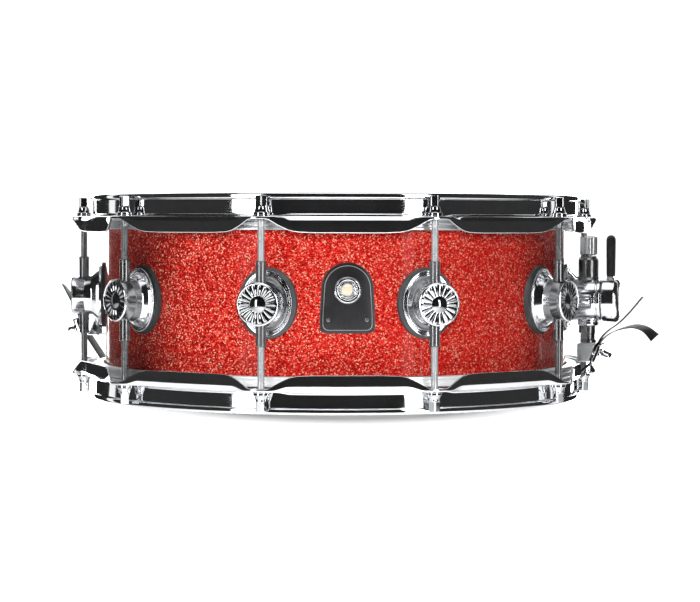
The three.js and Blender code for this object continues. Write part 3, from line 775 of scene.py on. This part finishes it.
def make_hoop(name, node, end, extra_cuts=()):
    sections = []
    offsets = sorted({-a for a in HOOP_ANGLES} | set(HOOP_ANGLES) | {18})
    for lug in range(LUGS):
        for offset in offsets:
            angle = math.radians(lug * LUG_STEP + offset)
            sections.append([Vector((r * math.cos(angle), r * math.sin(angle), z))
                             for r, z in rounded(end(hoop_corners(offset)))])
    drill = post(3.4, 10, 24, 24)
    if end is at_top:
        drill = drill.moved(shifted(z=HEIGHT - 34))
    holes = [drill.moved(radial(lug * LUG_STEP) @ shifted(ROD_CIRCLE)) for lug in range(LUGS)]
    hoop = carved(lofted(sections, closed=True), [joined(holes), *extra_cuts])
    piece(name, hoop, CHROME, replaces=[node])


def make_hoops():
    make_hoop("upper_hoop", "batter_hoop", at_top)
    gate = slab(rounded_rectangle(14.5, 4.6, 32, 2.5), [(184, 0), (206, 0)])
    gates = [gate.moved(radial(angle)) for angle in (STRAINER_ANGLE, BUTT_ANGLE)]
    make_hoop("lower_hoop", "snare_hoop", list, gates)


# ---------------- lugs and tension rods


def oval(x, half_width, half_height):
    sides = 64
    angles = [TURN * i / sides for i in range(sides)]
    return [Vector((x, half_width * math.cos(a), half_height * math.sin(a))) for a in angles]


def ovals(corners):
    """Lofts ovals through corners of (x, half width, half height, rounding)."""
    widths = rounded([(x, w, f) for x, w, h, f in corners], closed=False)
    heights = rounded([(x, h, f) for x, w, h, f in corners], closed=False)
    return lofted([oval(w.x, w.y, h.y) for w, h in zip(widths, heights)])


def lug_face():
    """The casting's front: a rim, straight rounded flutes and a plain domed button."""
    flutes, sides = 18, 144
    rim, button, dome, lift = 13.9, 5.6, 1.7, 0.75
    start, end = 6.0, 13.4  # radii between which the flutes run
    radii = [rim, 13.5, 13.0, 12.2, 11, 9.6, 8.2, 7.2, 6.6, 6.0, 5.7, 5.5, 4.9, 3.6, 2.0, 0.05]
    base, floor, top = 202.6, 203.2, 204.8
    rings = [[Vector((base, rim * math.cos(TURN * i / sides), rim * math.sin(TURN * i / sides)))
              for i in range(sides)]]
    for radius in radii:
        ring = []
        for i in range(sides):
            angle = TURN * i / sides
            if radius < button:
                x = top - dome * (radius / button) ** 2
            else:
                window = math.sin(math.pi * min(1, max(0, (radius - start) / (end - start))))
                crest = (0.5 + 0.5 * math.cos(flutes * angle)) ** 3
                x = floor + lift * crest * window ** 0.5 - 0.15
            ring.append(Vector((x, radius * math.cos(angle), radius * math.sin(angle))))
        rings.append(ring)
    return lofted(rings)


# The raised rim of the oval foot that the lugs and the strainer share, and the groove inside it.
FOOT = [
    (180.9, 18.6, 23.2, 0), (183.1, 18.6, 23.2, 0.9), (183.1, 17.3, 21.7, 0.4),
    (182.5, 17.0, 21.3, 0.3), (182.7, 16.6, 20.6, 0.5),
]


def foot_gasket():
    return conforming(ovals([(SEAT, 21.2, 25.1, 0), (180.85, 21.2, 25.1, 0.8),
                             (180.85, 19.6, 23.9, 0)]))


def make_lugs():
    casting = ovals([
        *FOOT, (184.6, 16.1, 19.2, 1.5), (188.6, 14.3, 15.6, 4),
        (194, 13.9, 14.2, 4), (200.6, 15.0, 15.0, 1.2), (203.2, 15.25, 15.25, 0.5),
        (204.05, 14.3, 14.3, 0.3), (203.6, 13.8, 13.8, 0.2), (202.9, 13.7, 13.7, 0),
    ])
    bore = post(3.15, -31, 31, 24).moved(shifted(ROD_CIRCLE))
    sleeve = revolved([
        (3.15, -29.5, 0.2), (3.3, -29.6, 0.1), (3.9, -29.1, 0.3), (3.9, -27.8, 0.2),
        (3.72, -27.6, 0.1), (3.72, 27.6, 0.1), (3.9, 27.8, 0.2), (3.9, 29.1, 0.3),
        (3.3, 29.6, 0.1), (3.15, 29.5, 0.2),
    ], 32)
    meshes = {
        "gasket": (mesh_of(foot_gasket()), RUBBER),
        "casting": (carved(casting, [bore]), CAST),
        "face": (mesh_of(lug_face()), SHADED_FACE_CHROME),
        "sleeve": (mesh_of(sleeve.moved(shifted(ROD_CIRCLE))), SLEEVE),
    }
    for i in range(LUGS):
        place = radial(i * LUG_STEP) @ shifted(z=LUG_HEIGHT)
        for part, (mesh, material) in meshes.items():
            node = [f"lug_{i + 1}"] if part == "casting" else []
            piece(f"lug_{i + 1}_{part}", mesh, material, place=place, replaces=node)


def squarish(radius, square, height):
    """A ring between round and a rounded square of the same half width."""
    sides = 40
    ring = []
    for i in range(sides):
        angle = TURN * (i + 0.5) / sides
        c, s = math.cos(angle), math.sin(angle)
        power = 2 + 8 * square
        reach = radius / (abs(c) ** power + abs(s) ** power) ** (1 / power)
        ring.append(Vector((reach * c, reach * s, height)))
    return ring


def rod_thread():
    """A tension rod's threaded shaft, hanging below its lip."""
    rings = [squarish(1.6, 0, -72), squarish(2.2, 0, -71.4)]
    pitch = 0.9
    height = -71
    while height < -24:
        rings += [squarish(2.5, 0, height), squarish(2.5, 0, height + 0.3),
                  squarish(2.18, 0, height + 0.6)]
        height += pitch
    return lofted([*rings, squarish(2.5, 0, -22.5), squarish(2.5, 0, -15)])


def rod_head():
    """A tension rod's flange, cone and square key head."""
    rings = [squarish(2.55, 0, -15.9), squarish(2.7, 0, -15.4)]
    flange = rounded([(4.6, -15.4), (5.5, -15.4, 0.3), (5.5, -13.7, 0.5), (4.9, -13.4, 0.3),
                      (4.3, -11.6, 1.0), (3.9, -10.0)], closed=False, steps=3)
    rings += [squarish(r, 0, z) for r, z in flange]
    head = [(3.75, 0.15, -9.6), (3.3, 0.6, -9.1), (3.1, 1, -8.6), (3.1, 1, -2.5), (2.95, 1, -2.15),
            (2.6, 1, -2.0), (0.05, 1, -2.0)]
    rings += [squarish(r, s, z) for r, s, z in head]
    return lofted(rings)


def make_rods():
    parts = [("thread", mesh_of(rod_thread()), STUD), ("head", mesh_of(rod_head()), SHADED_HEAD_CHROME)]
    flat = mesh_of(revolved(
        [(3.2, 0, 0.1), (5.95, 0, 0.25), (5.95, 0.85, 0.25), (3.2, 0.85, 0.1)], 40))
    for i in range(LUGS):
        column = radial(i * LUG_STEP) @ shifted(ROD_CIRCLE)
        top = column @ shifted(z=HEIGHT) @ turned_about("Z", 11 * ((i * 7) % 8) - 38)
        low = column @ turned_about("X", 180) @ turned_about("Z", 11 * ((i * 5) % 8) - 30)
        for part, mesh, material in parts:
            for name, place in (("batter", top), ("snare", low)):
                node = f"{name}_rod_{i + 1}"
                piece(f"{node}_{part}", mesh, material, node, place, [node])
        seat = EAR_PLATE - 0.02
        piece(f"upper_washer_{i + 1}", flat, CHROME, place=column @ shifted(z=HEIGHT - seat))
        piece(f"lower_washer_{i + 1}", flat, CHROME,
              place=column @ shifted(z=seat) @ turned_about("X", 180))


def pan_screw():
    """A round screw head with a cross recess, its face towards +Z."""
    radius, height = 4.2, 2.3
    head = revolved([
        (0, 0), (radius, 0), (radius, 0.7, 0.3), (radius * 0.7, height, 1.6), (0, height),
    ], 28)
    arms = [block(-0.5, 0.5, 2.1, height - 1.1, height + 1, 0.1).moved(turned_about("Z", turn))
            for turn in (0, 90)]
    return carved(head, arms)


def make_inner_screws():
    """Screws and washers inside the shell that hold the lugs, the strainer and the butt."""
    screw = pan_screw()
    ring = mesh_of(revolved(
        [(2.2, 0, 0.1), (5.6, 0, 0.2), (5.6, 0.9, 0.3), (2.2, 0.9, 0.1)], 32))
    rows = [(f"lug_{i + 1}", i * LUG_STEP, LUG_HEIGHT, 12.7) for i in range(LUGS)]
    rows += [("strainer", STRAINER_ANGLE, LUG_HEIGHT, 16), ("butt", BUTT_ANGLE, 64, 19)]
    for name, angle, middle, reach in rows:
        for side, end in (("low", -1), ("high", 1)):
            inwards = radial(angle) @ shifted(SHELL_INNER, 0, middle + end * reach)
            inwards = inwards @ turned_about("Y", -90)
            piece(f"{name}_screw_{side}", screw, SATIN, place=inwards @ shifted(z=0.85))
            piece(f"{name}_screw_washer_{side}", ring, SATIN, place=inwards)


# ---------------- strap clamps


def clamp_place(clamp, angle):
    radius, height = clamp
    return radial(angle) @ shifted(radius, 0, height) @ turned_about("Y", CLAMP_TILT)


def jaw_solid(clamp, back):
    """The block behind the clamping face, drawn in radius and height."""
    radius, height = clamp
    tilt = math.radians(CLAMP_TILT)
    across = CLAMP["half_height"] * math.sin(tilt)
    up = CLAMP["half_height"] * math.cos(tilt)
    outline = rounded([(back, height - up, 1.0), (radius - across, height - up, 0.7),
                       (radius + across, height + up, 0.7), (back, height + up, 1.4)], steps=3)
    rings = []
    half = CLAMP["half_width"]
    for y, inset in ((-half, 0.5), (0.5 - half, 0), (half - 0.5, 0), (half, 0.5)):
        centre = sum(outline, Vector((0, 0))) / len(outline)
        ring = [centre + (p - centre) * (1 - inset / 7) for p in outline]
        rings.append([Vector((p.x, y, p.y)) for p in ring])
    return lofted(rings)


def clamp_screw(seat):
    """A square-headed clamp screw standing on +X of the clamp."""
    rings = [squarish(1.4, 0, -6.4), squarish(1.7, 0, -6), squarish(1.7, 0, seat),
             squarish(3.4, 0, seat), squarish(3.4, 0, seat + 0.9), squarish(3.1, 0, seat + 1.3),
             squarish(2.5, 0.3, seat + 2.2), squarish(2.3, 1, seat + 2.8),
             squarish(2.3, 1, seat + 6.9), squarish(1.9, 1, seat + 7.3), squarish(0.05, 1, seat + 7.3)]
    return lying(lofted(rings))


def make_clamp(prefix, clamp, stack, angle, body):
    place = clamp_place(clamp, angle)
    half_height, hole, across = CLAMP["half_height"], CLAMP["hole"], CLAMP["screw"]
    outline = rounded_rectangle(CLAMP["half_width"], -half_height, half_height, 1.6)
    front = plate_edges(stack + 0.6, stack + 2.6, 0.7)
    cover = slab(outline, [(stack, 0.3), (stack + 0.3, 0), *front])
    drill = lying(post(hole, 0, 8, 20))
    drills = [drill.moved(shifted(y=side * across)) for side in (-1, 1)]
    piece(f"{prefix}_clamp_cover", carved(cover, drills), CHROME, body, place,
          [f"{prefix}_clamp_plate"])
    screw = mesh_of(clamp_screw(stack + 2.9))
    for i, side in enumerate((-1, 1)):
        seat = place @ shifted(y=side * across) @ turned_about("X", 20 + 35 * i)
        piece(f"{prefix}_key_screw_{i + 1}", screw, CHROME, body, seat,
              [f"{prefix}_clamp_screw_{i + 1}"])


# ---------------- strainer


def make_strainer_housing():
    place = radial(STRAINER_ANGLE)
    level = place @ shifted(z=LUG_HEIGHT)
    piece("strainer_pad", foot_gasket(), RUBBER, place=level, replaces=["strainer_gasket"])
    base = ovals([*FOOT, (184.6, 16.2, 18.6, 1.5), (190, 12, 12, 0)])
    piece("strainer_base", base, CAST, place=level, replaces=["strainer_housing"])
    barrel = lying(revolved([
        (0, 183), (BARREL_RADIUS, 183), (BARREL_RADIUS, 204.4, 0.5), (15.6, 204.8, 0.2),
        (15.6, 205.6, 0.2), (BARREL_RADIUS, 206.0, 0.5), (BARREL_RADIUS, 208.6, 1.2),
        (12, 208.6, 0.5), (0, 208.6),
    ], 72), PIVOT_HEIGHT)
    slot = block(-3, 3, 7.4, -5.4, 5.4, 2.2).moved(
        shifted(195.3, -BARREL_RADIUS, PIVOT_HEIGHT - 0.5) @ turned_about("Z", 90))
    pivot = lying(post(4.5, 204.6, 212, 24), PIVOT_HEIGHT)
    piece("strainer_barrel", carved(barrel, [slot, pivot]), CAST, place=place)
    bar = revolved([(0, -6.2), (3.4, -6.2, 1.6), (3.4, 6.2, 1.6), (0, 6.2)], 28)
    piece("strainer_slot_bar", lying(bar).moved(shifted(195.3, -12.6, PIVOT_HEIGHT - 0.5)), CAST,
          place=place)
    column = revolved([
        (0, 80), (9.4, 84, 1), (9.4, 90.5, 1.4), (7.5, 92.6, 0.8), (7.5, 105.6, 0.8),
        (5.9, 107.6, 0.5), (5.9, 108.5, 0.3), (0, 108.5),
    ], 48)
    drilled = carved(column, [post(2.8, 104, 112, 20)])
    piece("strainer_column", drilled, SLEEVE, place=place @ shifted(COLUMN_RADIUS))
    guide = revolved([
        (5.6, 56.1, 0.3), (7.4, 56.1, 0.8), (8.0, 57.4, 0.8), (8.0, 58.9, 0.6), (7.3, 59.7, 0.4),
        (7.3, 64), (5.6, 64),
    ], 48)
    piece("strainer_guide_ring", guide, CAST, place=place @ shifted(COLUMN_RADIUS))


def knurled(radius, low, high):
    """A cylinder with a diamond knurl and plain bevelled ends."""
    rings, sides, rows = [], 120, 30
    ridges, depth = 24, 0.16
    for bevel, height in ((1.2, low), (0.5, low + 0.5)):
        rings.append(circle(radius - bevel, height, sides))
    for row in range(rows + 1):
        height = low + 0.9 + (high - low - 1.8) * row / rows
        ring = []
        for i in range(sides):
            angle = TURN * i / sides
            turn = ridges * angle
            climb = TURN * row / 6
            bite = depth * (math.sin(turn + climb) * math.sin(turn - climb) - 1)
            reach = radius + bite
            ring.append(Vector((reach * math.cos(angle), reach * math.sin(angle), height)))
        rings.append(ring)
    for bevel, height in ((0.5, high - 0.5), (1.2, high)):
        rings.append(circle(radius - bevel, height, sides))
    rings += [circle(3.4, high, sides), circle(3.0, high - 0.5, sides), circle(0.1, high - 0.5, sides)]
    return lofted(rings)


def make_tuner():
    place = radial(STRAINER_ANGLE) @ shifted(COLUMN_RADIUS)
    piece("tuning_knob", knurled(*KNOB), SATIN, "tuner", place, ["strainer_knob"])
    rod = revolved([(0, 53), (2.0, 53, 0.3), (2.3, 53.6), (2.3, 109.3, 0.3), (0, 109.3)], 24)
    piece("tuning_rod", rod, SATIN, "tuner", place, ["strainer_adjuster_rod"])


def grip_section(height, depth, width):
    sides = 36
    ring = []
    for i in range(sides):
        angle = TURN * i / sides
        c, s = math.cos(angle), math.sin(angle)
        reach = (abs(c) ** 2.6 + abs(s) ** 2.6) ** (-1 / 2.6)
        ring.append(Vector((GRIP_RADIUS + depth * reach * c, width * reach * s, height)))
    return ring


def make_lever():
    place = radial(STRAINER_ANGLE)
    hub = lying(revolved([
        (0, 214.6), (3.9, 214.6), (4.5, 209), (16.0, 209, 0.4), (16.8, 209.9, 0.5),
        (16.8, 218.6, 2.6), (15.3, 221.2, 2.2), (12.4, 222.3, 1.5), (0, 222.3),
    ], 72), PIVOT_HEIGHT)
    piece("lever_hub", hub, CAST, "lever", place, ["strainer_lever_hub"])
    stem = block(213.7, 216.1, 3.2, 88, 111, 0.5)
    collar = slab(rounded_rectangle(6.0, 90.9, 93.2, 0.9),
                  [(212.1, 0.5), (212.5, 0), (217.3, 0), (217.7, 0.5)])
    piece("lever_stem", joined([stem, collar]), CHROME, "lever", place)
    sections = [
        (93.2, 2.6, 5.2), (93.6, 3.0, 5.7), (96, 3.15, 5.9), (106, 3.25, 5.95), (118, 3.4, 6.0),
        (120.6, 3.4, 5.95), (122.4, 3.0, 5.3), (123.6, 2.2, 4.2), (124.2, 1.2, 2.6),
        (124.4, 0.1, 0.3),
    ]
    grip = lofted([grip_section(*section) for section in sections])
    piece("lever_grip", grip, RUBBER, "lever", place, ["strainer_lever_grip"])
    pin = lying(revolved([(0, 205), (4, 205, 0.4), (4, 214.2, 0.4), (0, 214.2)], 28), PIVOT_HEIGHT)
    piece("lever_pivot", pin, SATIN, "lever", place, ["strainer_pivot_pin"])


def make_carriage():
    place = radial(STRAINER_ANGLE)
    jaw = jaw_solid(STRAINER_CLAMP, CARRIAGE_JAW_BACK)
    piece("carriage_jaw", jaw, SATIN, "carriage", place, ["strainer_carriage"])
    shaft = revolved([
        (2.8, 42), (5.9, 42), (5.9, 45.2, 0.5), (4.9, 45.9, 0.3), (4.9, 49.6, 0.3), (5.3, 50.2, 0.3),
        (5.3, 66, 0.4), (2.8, 66),
    ], 48)
    piece("carriage_shaft", shaft, SLEEVE, "carriage", place @ shifted(COLUMN_RADIUS))
    make_clamp("strainer", STRAINER_CLAMP, 2.1, STRAINER_ANGLE, "carriage")


# ---------------- butt


def make_butt():
    place = radial(BUTT_ANGLE)
    half_width, low, high, corner = BUTT_PLATE
    pad = slab(rounded_rectangle(half_width + 2, low - 2, high + 2, corner + 1),
               plate_edges(SEAT, SEAT + 2.3, 0.6))
    piece("butt_pad", conforming(pad), RUBBER, place=place, replaces=["butt_gasket"])
    base = slab(rounded_rectangle(*BUTT_PLATE), plate_edges(SEAT + 2.4, SEAT + 5.6, 1.3))
    piece("butt_base", base, CAST, place=place, replaces=["butt_body"])
    piece("butt_arm", block(SEAT + 4, 198, 9, 43.5, 66, 2.0), CAST, place=place)
    piece("butt_jaw", jaw_solid(BUTT_CLAMP, BUTT_JAW_BACK), CAST, place=place)
    make_clamp("butt", BUTT_CLAMP, 1.5, BUTT_ANGLE, "root")


# ---------------- snare wires


def coil(half_length, radius, wire, pitch, height):
    """One coiled strand along X."""
    per_turn, ring_sides = 7, 4
    steps = int(2 * half_length / pitch * per_turn)
    rings = []
    for i in range(steps + 1):
        along = -half_length + 2 * half_length * i / steps
        angle = TURN * i / per_turn
        out = Vector((0, math.cos(angle), math.sin(angle)))
        centre = Vector((along, 0, height)) + out * (radius - wire)
        ring = []
        for side in range(ring_sides):
            turn = TURN * side / ring_sides
            ring.append(centre + out * wire * math.cos(turn) + Vector((wire * math.sin(turn), 0, 0)))
        rings.append(ring)
    return lofted(rings)


def make_wires():
    place = radial(STRAINER_ANGLE)
    count, pitch = WIRES
    inner, outer = WIRE_PLATES
    strand = coil(half_length=156, radius=0.78, wire=0.24, pitch=2.6, height=5.22)
    strands = [strand.moved(shifted(y=(i - (count - 1) / 2) * pitch)) for i in range(count)]
    piece("snare_strands", joined(strands), WIRE, "wires", place, ["snare_wires"])
    half = count * pitch / 2 + 0.3
    for name, x0, x1 in (("strainer", inner, outer), ("butt", -outer, -inner)):
        plate = block(x0, x1, half, 3.9, 5.5, 0.5)
        slots = [block(x0 + 3, x1 - 9, 2.6, 2, 7, 0.6).moved(shifted(y=y)) for y in (-14, 0, 14)]
        piece(f"wire_plate_{name}", carved(plate, slots), SATIN, "wires", place)


make_shell()
make_badge()
make_grommet()
make_heads()
make_hoops()
make_lugs()
make_rods()
make_inner_screws()
make_strainer_housing()
make_tuner()
make_lever()
make_carriage()
make_butt()
make_wires()

# ---------------- studio

FLOOR_SIZE = 14.0
BACKDROP_RADIUS = 6.5
ROOM_RADIUS = 2.7
ROOM_REACH = 2.4
LINER_RADIUS = 0.1773  # a glowing grey ring just inside the wrap, seen only in reflections: a painted reflection in place of the wrap's red in the chrome
LINER_REACH = 0.064
FLAG_AHEAD = 0.6
FLAG_GAP = 0.103  # from the middle of the gap to each flag's edge
FLAG_MIDDLE = 0.008
SHADOW_AHEAD = 0.07  # the floor's painted shadow is centred this far in front of the axis
# Where each dark screen starts and ends, in degrees from the camera.
DARK_SCREENS = [(-150, -128), (-121, 116), (123, 152), (161, 166), (176, 184), (197, 202)]


def stage_mesh(name, points, faces, material, camera, glossy):
    """Something round the drum that is seen by the camera, in reflections, or both."""
    mesh = bpy.data.meshes.new(name)
    mesh.from_pydata(points, [], faces)
    mesh.materials.append(material)
    item = added(name, mesh)
    item.visible_camera = camera
    item.visible_glossy = glossy
    item.visible_diffuse = False
    item.visible_transmission = camera
    item.visible_shadow = False
    return item


def plain(name, colour, glow=0.0):
    """A matt studio surface with a trace of unevenness; glow keeps it pale in every view."""
    nodes = Nodes(name, Roughness=0.9, Emission_Color=(1, 1, 1, 1), Emission_Strength=glow)
    pale = nodes.ramp(nodes.noise(6, detail=2), (0.3, colour * 0.985), (0.7, colour))
    return nodes.finish(Base_Color=pale)


def make_floor_with_painted_shadow():
    """Pale paint with a painted shadow round the drum's foot: its glow dims a little there."""
    nodes = Nodes("floor", Roughness=0.9, Emission_Color=(1, 1, 1, 1))
    ahead = nodes.vector("SUBTRACT", nodes.place((1.3, 1, 1)), (0, -SHADOW_AHEAD, 0))
    away = nodes.vector("LENGTH", ahead)
    # Painted shadow: the floor's glow fades to nothing near the drum's foot.
    glow = nodes.ramp(away, (0.145, 0.0), (0.205, 0.97))
    pale = nodes.ramp(nodes.noise(6, detail=2), (0.3, 0.33), (0.7, 0.35))
    return nodes.finish(Base_Color=pale, Emission_Strength=glow)


def make_floor():
    half = FLOOR_SIZE / 2
    corners = [(-half, -half, 0), (half, -half, 0), (half, half, 0), (-half, half, 0)]
    stage_mesh("floor", corners, [(0, 1, 2, 3)], make_floor_with_painted_shadow(), True, False)


def arc_wall(radius, reach, first, last, steps=48, capped=False):
    """A standing band round the drum between two angles; a cap closes its top and its bottom."""
    points, faces = [], []
    for i in range(steps + 1):
        angle = math.radians(first + (last - first) * i / steps)
        x, y = radius * math.cos(angle), radius * math.sin(angle)
        points += [(x, y, -reach), (x, y, reach)]
    for i in range(steps):
        faces.append((2 * i, 2 * i + 2, 2 * i + 3, 2 * i + 1))
    if capped:
        faces += [tuple(range(0, len(points), 2)), tuple(range(1, len(points), 2))]
    return points, faces


def make_panel(name, ahead, height, radius, strength):
    """A round glow over or under the drum that fades out, seen only in reflections."""
    nodes = Nodes(name, Roughness=1.0, Emission_Color=(1, 1, 1, 1))
    away = nodes.vector("LENGTH", nodes.place())
    glow = nodes.ramp(nodes.sum("DIVIDE", away, radius), (0.5, strength), (1.0, 0.03))
    points = [point * MM for point in circle(radius / MM, 0)]
    panel = stage_mesh(name, points, [tuple(range(len(points)))],
                       nodes.finish(Emission_Strength=glow), False, True)
    panel.location = radial(CAMERA_AZIMUTH) @ Vector((ahead, 0, height))


def make_room():
    """White all round; dark screens and a bright back wall that only the reflections show."""
    points, faces = arc_wall(BACKDROP_RADIUS, BACKDROP_RADIUS, 0, 360, 72, capped=True)
    stage_mesh("backdrop", points, faces, plain("backdrop", 0.0, glow=1.12), True, True)
    screen = plain("screen", 0.02)
    walls = [(ROOM_RADIUS, first, last, screen) for first, last in DARK_SCREENS]
    walls.append((ROOM_RADIUS + 0.1, 152, 210, plain("back_glow", 0.0, glow=6.0)))
    for i, (radius, first, last, material) in enumerate(walls):
        first, last = CAMERA_AZIMUTH + first, CAMERA_AZIMUTH + last
        points, faces = arc_wall(radius, ROOM_REACH, first, last, capped=last - first > 180)
        stage_mesh(f"wall_{i}", points, faces, material, False, True)
    # A glowing, streaked ring seen only in reflections: a painted reflection standing in for the
    # drum's own side in the chrome.
    points, faces = arc_wall(LINER_RADIUS, LINER_REACH, 0, 360)
    nodes = Nodes("painted_reflection_ring", Base_Color=(0, 0, 0, 1), Emission_Color=(1, 1, 1, 1))
    painted_reflection_streaks = nodes.noise(16, detail=2, stretch=(1, 1, 5))
    paint = nodes.finish(Emission_Strength=nodes.ramp(painted_reflection_streaks, (0.42, 0.02), (0.58, 0.55)))
    painted_reflection_ring = stage_mesh("painted_reflection_ring", points, faces, paint, False, True)
    painted_reflection_ring.location.z = LUG_HEIGHT * MM
    make_panel("ceiling_glow", ahead=0.35, height=2.0, radius=0.95, strength=1.1)
    make_panel("floor_glow", ahead=0.3, height=-0.7, radius=2.3, strength=0.5)


def make_flags():
    """Black cards in front that keep the fill light off the drum's sides."""
    card = plain("flag", 0.02)
    for i, side in enumerate((-1, 1)):
        inner, outer = FLAG_MIDDLE + side * FLAG_GAP, FLAG_MIDDLE + side * 1.2
        corners = [(inner, -0.2), (outer, -0.2), (outer, 1.2), (inner, 1.2)]
        points = [radial(CAMERA_AZIMUTH) @ Vector((FLAG_AHEAD, y, z)) for y, z in corners]
        flag = stage_mesh(f"flag_{i}", points, [(0, 1, 2, 3)], card, False, False)
        flag.visible_shadow = True


def make_light(name, azimuth, distance, height, size, power, aim=0.08, seen=True, lit=True,
               colour=(1, 1, 1)):
    """A rectangular light at an angle from the camera, aimed at a height on the drum's axis."""
    light = bpy.data.lights.new(name, "AREA")
    light.color = colour
    light.shape = "RECTANGLE"
    light.size, light.size_y = size
    light.energy = power
    item = added(name, light)
    place = radial(CAMERA_AZIMUTH + azimuth) @ Vector((distance, 0, height))
    item.location = place
    item.rotation_euler = (Vector((0, 0, aim)) - place).to_track_quat("-Z", "Y").to_euler()
    item.visible_camera = False
    item.visible_glossy = seen
    item.visible_diffuse = lit


def make_world():
    world = bpy.data.worlds.new("studio")
    world.use_nodes = True
    sky = world.node_tree.nodes["Background"]
    sky.inputs["Color"].default_value = (1, 1, 1, 1)
    sky.inputs["Strength"].default_value = 0.14
    bpy.context.scene.world = world
    bpy.context.scene.view_settings.view_transform = "Standard"


make_floor()
make_room()
make_light("softbox_left", -40, 2.3, 0.1, (0.46, 2.6), 24, aim=0.1, lit=False)
make_light("softbox_right", 36, 2.3, 0.1, (0.42, 2.6), 34, aim=0.1, lit=False)
make_light("overhead", 0, 0.4, 2.1, (2.2, 1.0), 20, seen=False)
make_flags()
make_light("fill", 0, 2.2, 0.5, (0.1, 0.6), 118, seen=False)
make_light("inside", 180, 0.05, 0.09, (0.1, 0.1), 1.1, seen=False, colour=(0.45, 0.7, 1))
make_world()

bpy.context.view_layer.update()
